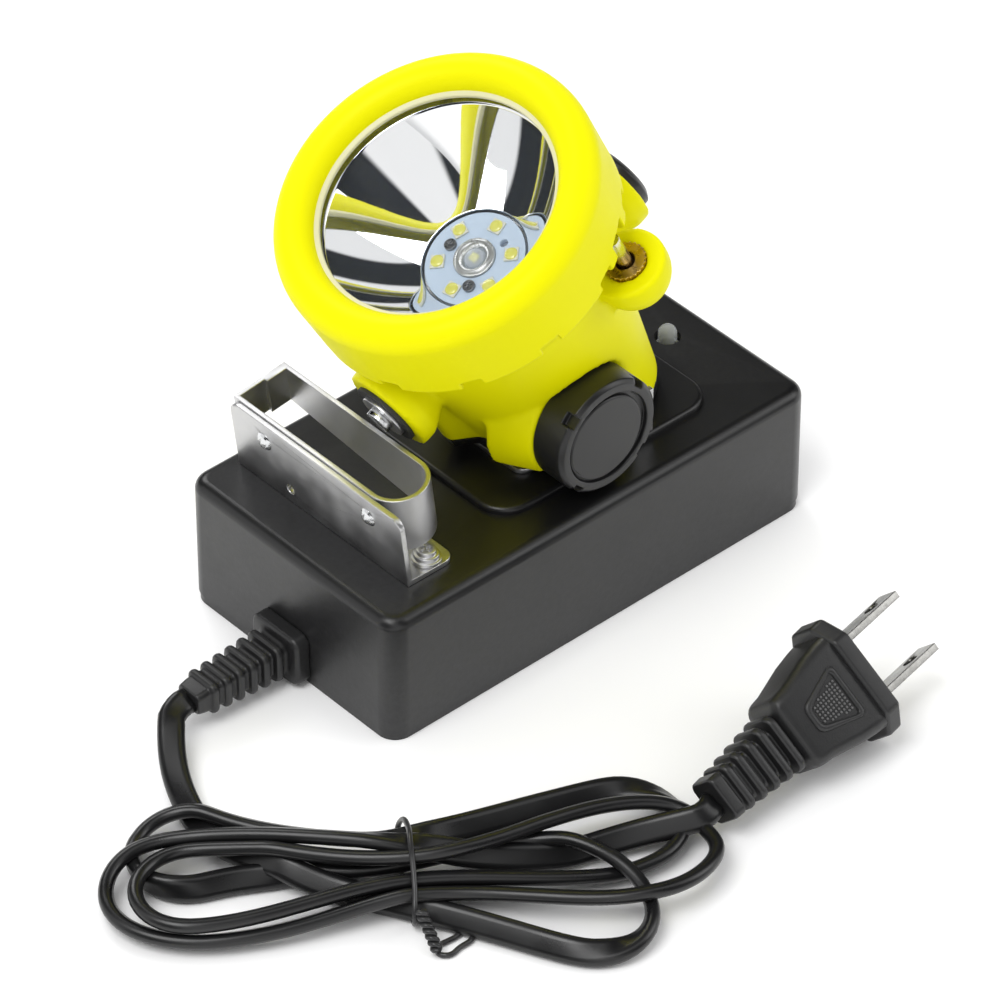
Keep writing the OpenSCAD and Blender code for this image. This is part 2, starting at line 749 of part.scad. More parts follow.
module bezel_ring() {
    inner_r = neck_r + 0.1;
    lip_mid = bezel_r - lip_r;
    open_r = reflector_r + lip_gap;
    gap_w = 4.2;
    top = crest_z - lip_r;
    color("#f4f000") on_lamp() difference() {
        union() {
            rotate_extrude() difference() {
                union() {
                    polygon([[inner_r, skirt_z], [bezel_r - 1.2, skirt_z], [bezel_r - 0.5, skirt_z + 0.7],
                        [bezel_r, top], [open_r, top], [open_r, lens_z + lens_t],
                        [inner_r, lens_z + lens_t - 1]]);
                    translate([lip_mid, top]) circle(lip_r);
                }
                translate([0, lens_z - 3]) square([lens_r + 0.1, lens_t + 3]);
                translate([0, skirt_z - 1]) square([inner_r, lens_z - skirt_z + 1]);
                square([open_r, crest_z + 10]);
            }
        }
        for (i = [0 : bezel_gaps - 1]) rotate(i * 360 / bezel_gaps + gap_turn)
            translate([inner_r + 0.6, -gap_w / 2, skirt_z - 1]) cube([10, gap_w, gap_h + 1]);
        rotate(atan2(lug_at[1], lug_at[0])) translate([inner_r - 1, -3.2, skirt_z - 1])
            cube([10, 6.4, 5]);
    }
}

module lens() {
    color("#dfe9ee", 0.35) on_lamp() translate([0, 0, lens_z])
        cylinder(h = lens_t, r = lens_r);
}

module lens_seal() {
    color("#2a2a2c") on_lamp() translate([0, 0, rim_z - flange_rim - seal_h])
        tube(neck_r, neck_r - 2.1, seal_h);
}

module reflector() {
    steps = 10;
    root = board_r + 0.4;
    k = (rim_z - board_z) / (reflector_r * reflector_r - root * root);
    inner = [for (i = [0 : steps]) let (r = root + (reflector_r - root) * i / steps)
        [r, board_z + k * (r * r - root * root)]];
    outer = [for (i = [steps : -1 : 0]) [inner[i][0] + 0.9, min(inner[i][1] - 0.35, rim_z - flange_rim)]];
    foot = [[root + 0.9, board_z - board_t], [root, board_z - board_t]];
    flange = [[lens_r, rim_z], [lens_r, rim_z - flange_rim]];
    color("#d5d9db") on_lamp() rotate_extrude() polygon(concat(inner, flange, outer, foot));
}

spot_turn = 8;
spot_ring = 7.6;
screw_turn = 95;
screw_ring = 6.3;

module led_board() {
    color("#dfe8f4") on_lamp() translate([0, 0, board_z - board_t]) difference() {
        cylinder(h = board_t, r = board_r);
        for (i = [0 : 2]) rotate(screw_turn + 120 * i) translate([screw_ring, 0, -1])
            cylinder(h = 5, r = 0.85);
    }
}

module main_led() {
    color("#e9e2cf") on_lamp() translate([0, 0, board_z]) {
        cylinder(h = 0.5, r = 4);
        translate([0, 0, 0.5]) tube(3.4, 2.4, 0.6);
        translate([0, 0, 0.5]) cylinder(h = 0.4, r = 2.4);
        translate([0, 0, 0.9]) cylinder(h = 0.8, r1 = 1.9, r2 = 1.2);
    }
}

module side_leds() {
    color("#e8e25a") on_lamp() for (i = [0 : 5]) rotate(spot_turn + 60 * i)
        translate([spot_ring, 0, board_z]) cylinder(h = 0.9, r1 = 1.75, r2 = 1.3);
}

module board_screws() {
    color("#c8cacc") on_lamp() for (i = [0 : 1]) rotate(screw_turn + 120 * i)
        translate([screw_ring, 0, board_z]) {
            cross_head(1.25, 0.7, 0.4);
            translate([0, 0, -4]) cylinder(h = 4.2, r = 0.85);
        }
}

module heat_sink() {
    color("#b7babd") on_lamp() difference() {
        union() {
            translate([0, 0, sink_z]) cylinder(h = 3, r = sink_r);
            translate([0, 0, sink_z + 3]) cylinder(h = board_z - board_t - sink_z - 3, r = board_r + 3);
        }
        for (i = [0 : 1]) rotate(screw_turn + 120 * i) translate([screw_ring, 0, board_z - board_t - 3])
            cylinder(h = 5, r = 0.85);
        for (y = [-1, 1]) translate([0, y * 15.5, sink_z - 1]) cylinder(h = 8, r = 1.6);
    }
}

module driver_board() {
    color("#2c7a55") on_lamp() {
        translate([0, 0, sink_z - 2.6]) cylinder(h = 1.4, r = 15);
        for (a = [30, 150, 270]) rotate(a) translate([12.5, 0, sink_z - 1.3])
            cylinder(h = 1.3, r = 1.6);
        translate([-9, -4, sink_z - 1.2]) cube([6, 5, 1.1]);
        translate([3, 2, sink_z - 1.2]) cylinder(h = 1.1, r = 3);
    }
}

module battery_cell() {
    color("#2d64a8") on_lamp() translate([-cell_l / 2, 0, cell_z]) rotate([0, 90, 0]) {
        cylinder(h = cell_l - 1, r = cell_r);
        translate([0, 0, cell_l - 1]) cylinder(h = 1, r = 3);
    }
}

module battery_cradle() {
    color("#303032") difference() {
        above(body_z) on_lamp() translate([-12, -6.4, -12])
            cube([24, 12.8, cell_z - cell_r + 5 + 12]);
        on_lamp() translate([-20, 0, cell_z]) rotate([0, 90, 0]) cylinder(h = 40, r = cell_r);
    }
}

module rotary_switch() {
    color("#3c3f45") difference() {
        along_knob(switch_y + switch_l) cylinder(h = switch_l, r = switch_r);
        along_knob(switch_y + switch_l - 1.2) cylinder(h = switch_l + 3, r = shaft_r + run_gap);
    }
}

module shaft_seal() {
    color("#232324") along_knob(boss_y + 1.5) tube(4.8, shaft_r + run_gap, 1.3);
}

module brass_insert() {
    teeth = 24;
    color("#a97a2c") on_lamp() translate([lug_at[0], lug_at[1], lug_z - 10]) difference() {
        union() {
            cylinder(h = 10, r = insert_r);
            translate([0, 0, 10]) linear_extrude(0.6) polygon([for (i = [0 : 2 * teeth - 1])
                let (r = insert_r + (i % 2 == 0 ? 0.3 : -0.1)) r * [cos(180 * i / teeth), sin(180 * i / teeth)]]);
        }
        translate([0, 0, -1]) cylinder(h = 14, r = lock_screw_r + run_gap);
        translate([0, 0, 9]) cylinder(h = 3, r1 = lock_screw_r, r2 = 2.6);
    }
}

module terminal_ring() {
    color("#141415") on_lamp() translate([ear_low_x, 0, ear_low_z]) rotate([0, -90, 0])
        tube(7, terminal_r, 0.8);
}

module terminal_washer() {
    color("#d6d9da") on_lamp() translate([ear_low_x - 0.8, 0, ear_low_z]) rotate([0, -90, 0])
        tube(5, terminal_r, 0.7);
}

module terminal_screw() {
    color("#dfe1e2") on_lamp() translate([ear_low_x - 1.5, 0, ear_low_z]) rotate([0, -90, 0]) {
        rotate(35) slotted_head(2.7, 1.5, 0.7);
        translate([0, 0, -8]) cylinder(h = 8.2, r = terminal_r);
    }
}

module top_cap() {
    color("#151516") on_lamp() translate([ear_top_x, 0, ear_top_z]) rotate([0, 90, 0]) {
        cylinder(h = 1.6, r = 7.6);
        translate([0, 0, 1.6]) cylinder(h = 0.9, r1 = 7.6, r2 = 6.4);
        translate([0, 0, -6]) cylinder(h = 6.2, r = stem_r);
    }
}

// ---------- knob ----------

knob_back = -boss_y + rest_gap;
knob_bore_l = 5.5;

module switch_knob() {
    notch_w = 2.6;
    color("#19191a") difference() {
        along_knob(-knob_back) {
            cylinder(h = knob_t - 0.8, r = knob_r);
            translate([0, 0, knob_t - 0.8]) cylinder(h = 0.8, r1 = knob_r, r2 = knob_r - 0.8);
        }
        along_knob(-knob_back) {
            translate([0, 0, -1]) cylinder(h = 1 + knob_bore_l, r = shaft_r);
            translate([0, 0, knob_t - 1]) cylinder(h = 3, r = knob_r - 2.5);
            for (a = [20, 110, 200, 290]) rotate(a) translate([knob_r - 1.4, -notch_w / 2, knob_t - 2.6])
                cube([3, notch_w, 4]);
        }
    }
}

module knob_disc() {
    color("#202022") along_knob(-knob_back - knob_t + 1) translate([-0.5, 0.35, 0]) {
        cylinder(h = 0.7, r = knob_r - 3.25);
        translate([0, 0, 0.7]) cylinder(h = 0.3, r1 = knob_r - 3.25, r2 = knob_r - 3.6);
    }
}

module switch_shaft() {
    depth = switch_l - 2;
    color("#b59a52") along_knob(switch_y + depth)
        cylinder(h = depth + switch_y - boss_y + rest_gap + knob_bore_l, r = shaft_r);
}

module lock_screw() {
    color("#c9cbcc") on_lamp() translate([lug_at[0], lug_at[1], lug_z - 4]) {
        cylinder(h = 4 + skirt_z - lug_z + 1.2, r = lock_screw_r);
    }
}

charger_case();
charger_base();
base_screws();
charger_board();
transformer_core();
transformer_coil();
capacitors();
power_transistor();
indicator_led();
bracket_plate();
bracket_loop();
bracket_rivets();
bracket_screws();
cord_gland();
cord_lead();
cord_hank();
cord_tail();
cord_tie();
plug_body();
plug_blades();
lamp_housing();
rear_cover();
cover_seal();
cover_screws();
hat_hook();
hook_screws();
bezel_ring();
lens();
lens_seal();
reflector();
led_board();
main_led();
side_leds();
board_screws();
heat_sink();
driver_board();
battery_cell();
battery_cradle();
rotary_switch();
shaft_seal();
brass_insert();
terminal_ring();
terminal_washer();
terminal_screw();
top_cap();
switch_knob();
knob_disc();
switch_shaft();
lock_screw();
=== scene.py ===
# %% [markdown]
# # A miner's cap lamp on its charging box
# The CAD model already holds every size and every moving part, so this lesson never moves one.
# It loads that model as a fixed frame, and then gives each part the surface that the real one
# has. Where a plain solid can't carry the look, a finer piece is built in the same place.

import json
import math

import bmesh
import bpy
import numpy as np
from mathutils import Matrix, Vector

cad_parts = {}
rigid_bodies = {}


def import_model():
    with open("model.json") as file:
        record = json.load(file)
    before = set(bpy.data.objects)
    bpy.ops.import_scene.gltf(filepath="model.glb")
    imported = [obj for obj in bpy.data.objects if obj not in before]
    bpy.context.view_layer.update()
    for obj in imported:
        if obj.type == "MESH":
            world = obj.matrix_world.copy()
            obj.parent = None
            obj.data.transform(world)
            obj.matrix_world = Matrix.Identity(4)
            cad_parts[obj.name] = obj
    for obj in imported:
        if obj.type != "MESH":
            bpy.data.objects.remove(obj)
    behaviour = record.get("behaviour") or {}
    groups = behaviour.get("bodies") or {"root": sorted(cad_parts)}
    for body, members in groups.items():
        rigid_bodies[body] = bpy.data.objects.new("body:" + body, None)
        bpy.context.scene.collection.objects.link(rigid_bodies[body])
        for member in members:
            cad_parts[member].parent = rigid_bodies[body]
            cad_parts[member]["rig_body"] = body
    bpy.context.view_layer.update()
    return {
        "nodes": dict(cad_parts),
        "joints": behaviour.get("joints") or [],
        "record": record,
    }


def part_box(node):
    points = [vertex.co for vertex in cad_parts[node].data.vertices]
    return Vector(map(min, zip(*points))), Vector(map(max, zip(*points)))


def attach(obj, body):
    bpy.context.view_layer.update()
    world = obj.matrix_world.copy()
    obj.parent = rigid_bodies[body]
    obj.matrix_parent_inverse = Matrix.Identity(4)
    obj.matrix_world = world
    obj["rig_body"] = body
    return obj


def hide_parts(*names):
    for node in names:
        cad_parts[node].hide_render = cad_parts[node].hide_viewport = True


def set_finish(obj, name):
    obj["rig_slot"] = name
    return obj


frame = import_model()
MM = 0.001
FLOOR_CLEAR = 0.1 * MM

# %% [markdown]
# ## The camera
# A product like this is shot with a long lens from far back, so that the box's edges stay
# nearly parallel. A short lens close by would show the same faces with strong perspective,
# which makes a small object look like a building. The camera looks down at about forty
# degrees over the corner of the box that the cord leaves from.

# %% Camera
CAMERA_TURN = math.radians(-41.82)
CAMERA_RISE = math.radians(39.81)
CAMERA_DISTANCE = 1.3
AIM_ACROSS = -0.00015
AIM_UP = 0.00946
LENS_MM = 235.41
SENSOR_MM = 36.0

view_right = Vector((math.cos(CAMERA_TURN), math.sin(CAMERA_TURN), 0))
view_back = Vector((math.sin(CAMERA_TURN) * math.cos(CAMERA_RISE),
                    -math.cos(CAMERA_TURN) * math.cos(CAMERA_RISE), math.sin(CAMERA_RISE)))
view_up = view_back.cross(view_right)

camera = bpy.data.objects.new("camera", bpy.data.cameras.new("camera"))
camera.data.lens = LENS_MM
camera.data.sensor_width = SENSOR_MM
camera.data.clip_start = 0.01
camera_place = Matrix((view_right, view_up, view_back)).transposed().to_4x4()
camera_place.translation = (view_back * CAMERA_DISTANCE + view_right * AIM_ACROSS
                            + view_up * AIM_UP)
camera.matrix_world = camera_place
bpy.context.scene.collection.objects.link(camera)
bpy.context.scene.camera = camera
print("camera stands", [round(v, 3) for v in camera_place.translation])

# %% [markdown]
# ## Making pieces
# Most pieces here are made from rings of points joined into a skin. One helper turns rings
# into a closed mesh, another puts a finished mesh in the scene, and the piece then rides on a
# CAD body by name. Building them by hand in Edit Mode would give the same shapes, but rings
# keep every size in one place.


# %% Helpers for meshes
def add_piece(name, mesh, body, slot=None, smooth=True):
    """Puts a mesh in the scene as a piece that rides on a body."""
    piece = bpy.data.objects.new(name, mesh)
    bpy.context.scene.collection.objects.link(piece)
    for polygon in mesh.polygons:
        polygon.use_smooth = smooth
    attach(piece, body)
    if slot:
        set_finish(piece, slot)
    return piece


def skin_rings(name, rings, closed=False):
    """A mesh through rings of points, each ring closed, with end caps unless it is a loop."""
    count = len(rings[0])
    points = [tuple(p) for ring in rings for p in ring]
    faces = []
    last = len(rings) if closed else len(rings) - 1
    for i in range(last):
        a, b = i * count, ((i + 1) % len(rings)) * count
        for k in range(count):
            n = (k + 1) % count
            faces.append((a + k, a + n, b + n, b + k))
    if not closed:
        faces.append(tuple(reversed(range(count))))
        faces.append(tuple((len(rings) - 1) * count + k for k in range(count)))
    mesh = bpy.data.meshes.new(name)
    mesh.from_pydata(points, [], faces)
    mesh.validate()
    shape = bmesh.new()
    shape.from_mesh(mesh)
    bmesh.ops.recalc_face_normals(shape, faces=shape.faces)
    shape.to_mesh(mesh)
    shape.free()
    return mesh


def rounded_outline(length, width, radius, steps=5):
    """Points round a rectangle with round corners, centred, as (x, y) pairs."""
    points = []
    for corner, (sx, sy) in enumerate(((1, 1), (-1, 1), (-1, -1), (1, -1))):
        cx, cy = sx * (length / 2 - radius), sy * (width / 2 - radius)
        for step in range(steps + 1):
            a = math.radians(90 * corner + 90 * step / steps)
            points.append((cx + radius * math.cos(a), cy + radius * math.sin(a)))
    return points


def soft_edges(piece, width, angle=35, segments=2):
    """Rounds a piece's sharp edges a little, because no moulded or pressed edge is razor sharp."""
    bevel = piece.modifiers.new("edges", "BEVEL")
    bevel.width = width
    bevel.segments = segments
    bevel.limit_method = "ANGLE"
    bevel.angle_limit = math.radians(angle)
    bevel.use_clamp_overlap = True
    bevel.harden_normals = False
    normals = piece.modifiers.new("normals", "WEIGHTED_NORMAL")
    normals.keep_sharp = True
    return piece


# %% [markdown]
# ## The mains cord
# The cord is a flat twin: two cores side by side in one jacket, wider than it is thick. It
# bends easily only across its thin side, so it stands on edge in the tight turns and lies
# flat where it runs straight. A round curve with a bevel can't show that. The route below is
# a list of soft bends in the hank's own directions, along and across it, and the flat section
# is swept along it with a turn that changes from stretch to stretch.

# %% Cord sizes and route
CORD_WIDTH = 5.4 * MM
CORD_THICK = 3.0 * MM
HANK_CENTRE = Vector((-78, -60, 0)) * MM
HANK_ALONG = Vector((0.891, -0.454, 0))
HANK_ACROSS = Vector((0.454, 0.891, 0))
EXIT_ACROSS, EXIT_HIGH = 0.5 * MM, 6.5 * MM
GLAND_END = Vector((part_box("cord_gland")[0].x, EXIT_ACROSS, EXIT_HIGH))
EDGE, FACE = 0.0, 1.0

# Each stretch: name, how flat it lies towards the viewer's side, and its bends
# (along, across, height) in millimetres from the middle of the hank.
STRETCHES = [
    ("lead under the hank", FACE, [(-36, 36, 3.8), (-37, 28, 2.8), (-35, 20, 2.2),
                                   (-32, 13, 2.2), (-25, 6, 2.2), (-17, 0, 2.2)]),
    ("low loop out", FACE, [(-4, -7.5, 2.3), (5, -13.5, 2.4), (10, -17.5, 2.4), (16, -22, 2.4),
                            (22, -27, 2.4), (27, -31, 2.4), (32, -33, 2.4)]),
    ("low loop turn", EDGE, [(38, -32, 2.4), (42, -28, 2.5), (43.5, -23, 3), (43, -18, 4),
                             (41, -13, 5), (38, -7.5, 5.6)]),
    ("low loop back", EDGE, [(33, -2.5, 6), (26, 1.5, 5.6), (14, 1.5, 4.4), (-2, -1, 3.6),
                             (-12, 1.5, 2.8)]),
    ("hidden loop out", FACE, [(-21, 5, 2.2), (-34, 7.5, 2.2), (-44, 9.5, 2.2)]),
    ("hidden loop turn", EDGE, [(-50, 12, 2.2), (-53, 16, 2.2), (-51, 20.5, 2.2),
                                (-46, 22.5, 2.2), (-40, 22.5, 2.3)]),
    ("hidden loop back", EDGE, [(-31, 19.5, 3), (-19, 13.5, 4.5), (-10, 7.5, 6), (-1, 2, 7.2)]),
    ("second loop out", FACE, [(6, 3.5, 6.6), (16, 6.5, 5), (31, 10, 3.4), (46, 12, 2.5)]),
    ("second loop turn", EDGE, [(53, 9.5, 2.4), (57, 3.5, 2.4), (55, -4, 2.4), (49, -9, 2.4)]),
    ("second loop back", EDGE, [(38, -12.5, 3), (25, -11, 4.2), (8, -7, 5.8), (-3, -5.4, 6.5)]),
    ("inner loop out", EDGE, [(-10, -5.5, 6.3), (-24, -8, 5.5), (-38, -9, 5.2), (-46, -7, 5.2)]),
    ("inner loop turn", EDGE, [(-51, -2.5, 5.2), (-53, 3.5, 5.2), (-51, 9, 5.3), (-45, 12.5, 5.6)]),
    ("inner loop back", EDGE, [(-37, 12.5, 6.2), (-25, 7.5, 7.2), (-13, 0.5, 8), (-3, -3.6, 8.6)]),
    ("outer loop out", EDGE, [(8, -5, 8.6), (23, -1, 8.2), (38, 3.5, 7.8), (50, 3.5, 7)]),
    ("outer loop turn", EDGE, [(57, 0, 6.4), (60, -8.5, 6), (57, -16, 5.6), (50, -21.5, 5.8)]),
    ("outer loop back", EDGE, [(42, -23.5, 6.4), (32, -20.5, 5.6), (20, -14.5, 5), (7, -9.5, 4.6),
                               (-4, -7.6, 4.4)]),
    ("last loop out", EDGE, [(-14, -9.5, 3.6), (-21, -11, 3), (-38, -10.5, 2.4), (-48, -8, 2.3)]),
    ("last loop turn", EDGE, [(-56, -0.5, 2.3), (-57.5, 7.5, 2.4), (-54, 14.5, 2.8),
                              (-48, 17.5, 4.4)]),
    ("last loop back", EDGE, [(-40, 17, 6), (-28, 12, 8), (-16, 6, 9.6), (-2, 0, 10.8)]),
    ("tail to the plug", FACE, [(6, -2, 9.4), (14, -4.5, 6.4), (24, -5.5, 4), (34, -3.5, 3),
                                (44, -1, 3.2)]),
]
route = [GLAND_END, GLAND_END + Vector((-2, 0, -0.1)) * MM, GLAND_END + Vector((-5, -1.2, -0.5)) * MM,
         Vector((-89, -3.6, 5.2)) * MM, Vector((-94, -8.5, 4.6)) * MM]
lie = [FACE] * len(route)
for name, flat, bends in STRETCHES:
    for along, across, height in bends:
        route.append(HANK_CENTRE + (HANK_ALONG * along + HANK_ACROSS * across
                                    + Vector((0, 0, height))) * MM)
        lie.append(flat)
print("route bends", len(route))

# %% [markdown]
# ## The plug's place
# The plug lies on the floor on one long edge and a corner of its flange, so it is rolled and
# its nose points a little up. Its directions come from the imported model's own mount for the
# blades, which keeps this piece on the CAD blades whatever happens to the numbers.

# %% Plug directions
mounts = {mount["name"]: mount for mount in frame["record"]["mounts"]}
PLUG_FACE = Vector(mounts["mains_plug"]["pos_m"])
PLUG_NOSE = Vector(mounts["mains_plug"]["axis"]).normalized()
PLUG_ROLL = math.radians(44)
FLANGE_THICK = 4 * MM
plug_level = Vector((-PLUG_NOSE.y, PLUG_NOSE.x, 0)).normalized()
plug_rise = PLUG_NOSE.cross(plug_level)
PLUG_LONG = plug_level * math.cos(PLUG_ROLL) + plug_rise * math.sin(PLUG_ROLL)
PLUG_SHORT = PLUG_NOSE.cross(PLUG_LONG)
if PLUG_SHORT.z < 0:
    PLUG_SHORT = -PLUG_SHORT
PLUG_MIDDLE = PLUG_FACE - PLUG_NOSE * (FLANGE_THICK / 2)
PLUG_TAIL = 39 * MM


def on_plug(x, y, z):
    """A point in the plug's own directions, in millimetres from the middle of its flange."""
    return PLUG_MIDDLE + (PLUG_LONG * x + PLUG_SHORT * y + PLUG_NOSE * z) * MM


route.append(on_plug(0, 0, -44))
route.append(on_plug(0, 0, -PLUG_TAIL / MM))
lie += [FACE, FACE]
print("plug tail ends at", [round(v, 4) for v in on_plug(0, 0, -PLUG_TAIL / MM)])

# %% [markdown]
# ## Settling the cord
# Real turns press on each other but never pass through. After the bends are joined into one
# smooth line, points that come too close are pushed apart a little at a time, and the line is
# eased so that it keeps no kink. The two sides of a fold are pushed apart as well, so that the
# fold stays open, and nothing may sink into the floor. A rope simulation could do the same,
# but this is quicker and always ends in the same place.


# %% Smooth and settle the route
def smooth_line(points, spacing):
    """Even points along one smooth curve through the given ones."""
    dense = []
    for i in range(len(points) - 1):
        a, b = points[max(i - 1, 0)], points[i]
        c, d = points[i + 1], points[min(i + 2, len(points) - 1)]
        for step in range(12):
            t = step / 12
            dense.append(0.5 * (2 * b + (c - a) * t + (2 * a - 5 * b + 4 * c - d) * t * t
                                + (3 * b - a - 3 * c + d) * t ** 3))
    dense.append(points[-1])
    dense = np.array([tuple(p) for p in dense])
    run = np.concatenate(([0], np.cumsum(np.linalg.norm(np.diff(dense, axis=0), axis=1))))
    even = np.linspace(0, run[-1], int(run[-1] / spacing) + 1)
    return np.stack([np.interp(even, run, dense[:, k]) for k in range(3)], 1), even / run[-1]


RING_SPACING = 1.4 * MM
ROOM = 3.3 * MM
LOWEST_CENTRE = 2.15 * MM
line, share = smooth_line(route, RING_SPACING)
knots = np.array([tuple(p) for p in route])
knot_run = np.concatenate(([0], np.cumsum(np.linalg.norm(np.diff(knots, axis=0), axis=1))))
flatness = np.interp(share, knot_run / knot_run[-1], lie)
HELD = 5
SETTLE_ROUNDS, FLATNESS_ROUNDS = 170, 30
NEIGHBOURS, FOLD_NEIGHBOURS = 7, 5
PUSH_SHARE, FOLD_SHARE, EASE_SHARE = 0.22, 0.02, 0.35
FOLD_BEND, FOLD_LOOSE = 10 * MM, 0.97
index = np.arange(len(line))
steps_apart = np.abs(index[:, None] - index[None, :])
arc = steps_apart * RING_SPACING
chord = np.where(arc < math.pi * FOLD_BEND, 2 * FOLD_BEND * np.sin(arc / (2 * FOLD_BEND)), 0)
chord = np.where(steps_apart > FOLD_NEIGHBOURS, chord * FOLD_LOOSE, 0)
for _ in range(SETTLE_ROUNDS):
    gap = line[:, None, :] - line[None, :, :]
    distance = np.linalg.norm(gap, axis=2) + 1e-9
    close = (steps_apart > NEIGHBOURS) & (distance < ROOM)
    push = np.where(close, (ROOM - distance) * PUSH_SHARE, 0)
    push = push + np.clip(chord - distance, 0, None) * FOLD_SHARE
    line[HELD:-HELD] += (gap / distance[..., None] * push[..., None]).sum(1)[HELD:-HELD]
    eased = (line[:-2] + line[2:]) / 2
    line[HELD:-HELD] += EASE_SHARE * (eased - line[1:-1])[HELD - 1:len(eased) - HELD + 1]
    line[HELD:-HELD, 2] = np.maximum(line[HELD:-HELD, 2], LOWEST_CENTRE)
for _ in range(FLATNESS_ROUNDS):
    flatness[1:-1] += 0.5 * ((flatness[:-2] + flatness[2:]) / 2 - flatness[1:-1])

# %% [markdown]
# ## The cord's skin
# The jacket's section is an oval with a shallow hollow along the middle of each broad face,
# between the two cores. At every ring the section is turned: its thin edge faces the viewer's
# side in the turns and its broad face does in the straight stretches.

# %% Sweep the flat section
CORD_SIDES = 20
HOLLOW = 0.16
LEAN = Vector((-0.51, -0.57, 0.64)).normalized()


def cord_section(sides):
    """The jacket's outline, (along the width, along the thickness), in metres."""
    outline = []
    for k in range(sides):
        a = 2 * math.pi * k / sides
        c, s = math.cos(a), math.sin(a)
        x = CORD_WIDTH / 2 * math.copysign(abs(c) ** 0.72, c)
        y = CORD_THICK / 2 * math.copysign(abs(s) ** 0.8, s)
        outline.append((x, y * (1 - HOLLOW * math.exp(-(x / (0.8 * MM)) ** 2))))
    return outline


section = cord_section(CORD_SIDES)
rings, widths = [], []
for i, point in enumerate(line):
    ahead = Vector(line[min(i + 2, len(line) - 1)]) - Vector(line[max(i - 2, 0)])
    ahead.normalize()
    to_edge = (LEAN - ahead * LEAN.dot(ahead)).normalized()
    to_face = ahead.cross(to_edge)
    a = math.radians(90) * flatness[i]
    wide = to_edge * math.cos(a) + to_face * math.sin(a)
    if widths and wide.dot(widths[-1]) < 0:
        wide = -wide
    widths.append(wide)
    thin = ahead.cross(wide)
    ring = [Vector(point) + wide * x + thin * y for x, y in section]
    lift = max(0.0, FLOOR_CLEAR - min(p.z for p in ring))
    line[i][2] += lift
    rings.append([p + Vector((0, 0, lift)) for p in ring])
cord = add_piece("mains_cord", skin_rings("mains_cord", rings), "charger", "cord_pvc")
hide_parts("cord_lead", "cord_hank", "cord_tail")
print("cord faces", len(cord.data.polygons))

# %% [markdown]
# ## Strain reliefs
# Both ends of the cord leave through a rubber tail with deep grooves, so that it bends in a
# soft curve and not at a sharp edge. Each tail is one skin through rounded rectangles: wide
# ones for the ribs and narrow ones for the grooves, with a small step of depth between them.


# %% Ribbed tails
def ribbed_rings(place, start, step, ribs, sizes, core, outline_steps=4):
    """Rings for a grooved tail. place puts (x, y, z) in space; sizes go from first to last rib."""
    result = []
    (l0, w0), (l1, w1) = sizes
    for rib in range(ribs):
        share = rib / max(ribs - 1, 1)
        length, width = l0 + (l1 - l0) * share, w0 + (w1 - w0) * share
        z = start + step * rib
        for at, l, w in ((0.02, core[0], core[1]), (0.06, length - 0.7, width - 0.7),
                         (0.12, length, width), (0.52, length, width),
                         (0.58, length - 0.7, width - 0.7), (0.62, core[0], core[1])):
            outline = rounded_outline(l, w, min(l, w) * 0.2, outline_steps)
            result.append([place(x, y, z + step * at) for x, y in outline])
    return result


GLAND_FACE = Vector((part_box("charger_case")[0].x, EXIT_ACROSS, EXIT_HIGH))


def on_gland(x, y, z):
    """A point in millimetres from the gland's root: x is up, y across, z out along the cord."""
    return GLAND_FACE + Vector((-z, y, x)) * MM


def plain_rings(place, rows, steps=4):
    """Rings of rounded rectangles from rows of (distance, length, width, corner)."""
    return [[place(x, y, z) for x, y in rounded_outline(l, w, r, steps)] for z, l, w, r in rows]


gland_rings = plain_rings(on_gland, [(0.05, 10.8, 12.8, 2.0), (0.05, 11.6, 13.6, 2.2),
                                     (2.9, 11.6, 13.6, 2.2), (3.4, 10.6, 12.6, 2.0),
                                     (3.6, 7.6, 8.6, 1.8)])
gland_rings += ribbed_rings(on_gland, 4.6, 3.1, 6, ((8.4, 9.4), (7.0, 8.0)), (5.6, 6.6))
gland_rings += plain_rings(on_gland, [(23.4, 5.2, 6.6, 1.2), (25.0, 4.6, 6.2, 1.2)])
gland = add_piece("cord_gland_skin", skin_rings("cord_gland_skin", gland_rings), "charger",
                  "black_rubber")
soft_edges(gland, 0.35 * MM)
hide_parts("cord_gland")
print("gland rings", len(gland_rings))

# %% [markdown]
# ## The plug
# The plug is moulded in one piece round the blades: a flange with cut corners, a grip that
# swells and then narrows like a shoulder, and the ribbed tail. The grip's broad face has a
# raised frame with a field of small pips for the thumb. The body is one skin of rings, and
# the frame and pips are separate small meshes on it.

# %% Plug body
shoulder_rows = [(-1.6, 21.8, 14.0, 2.6), (-4.0, 21.4, 13.8, 2.6), (-8.0, 20.2, 13.5, 2.5),
                 (-12.0, 18.2, 13.2, 2.4), (-15.0, 16.8, 12.7, 2.3), (-17.2, 16.4, 12.3, 2.2),
                 (-18.4, 15.8, 11.9, 2.1), (-19.2, 14.0, 11.0, 2.0), (-19.7, 10.0, 8.6, 1.8)]
plug_rings = plain_rings(on_plug, shoulder_rows)
plug_rings += ribbed_rings(on_plug, -20.2, -3.3, 5, ((12.6, 10.6), (10.2, 9.0)), (8.0, 6.6))
plug_rings += plain_rings(on_plug, [(-36.2, 8.0, 6.6, 1.4), (-36.3, 9.6, 8.4, 1.4),
                                    (-38.8, 9.4, 8.2, 1.4), (-39.0, 8.6, 7.4, 1.4)])
plug = add_piece("plug_skin", skin_rings("plug_skin", plug_rings), "charger", "black_rubber")
soft_edges(plug, 0.4 * MM)

FLANGE_LONG, FLANGE_SHORT, FLANGE_CUT = 26.0, 16.5, 4.5


def cut_corner_outline(length, width, cut):
    """A rectangle with its corners cut off."""
    a, b = length / 2, width / 2
    return [(a, -b + cut), (a, b - cut), (a - cut, b), (cut - a, b), (-a, b - cut),
            (-a, cut - b), (cut - a, -b), (a - cut, -b)]


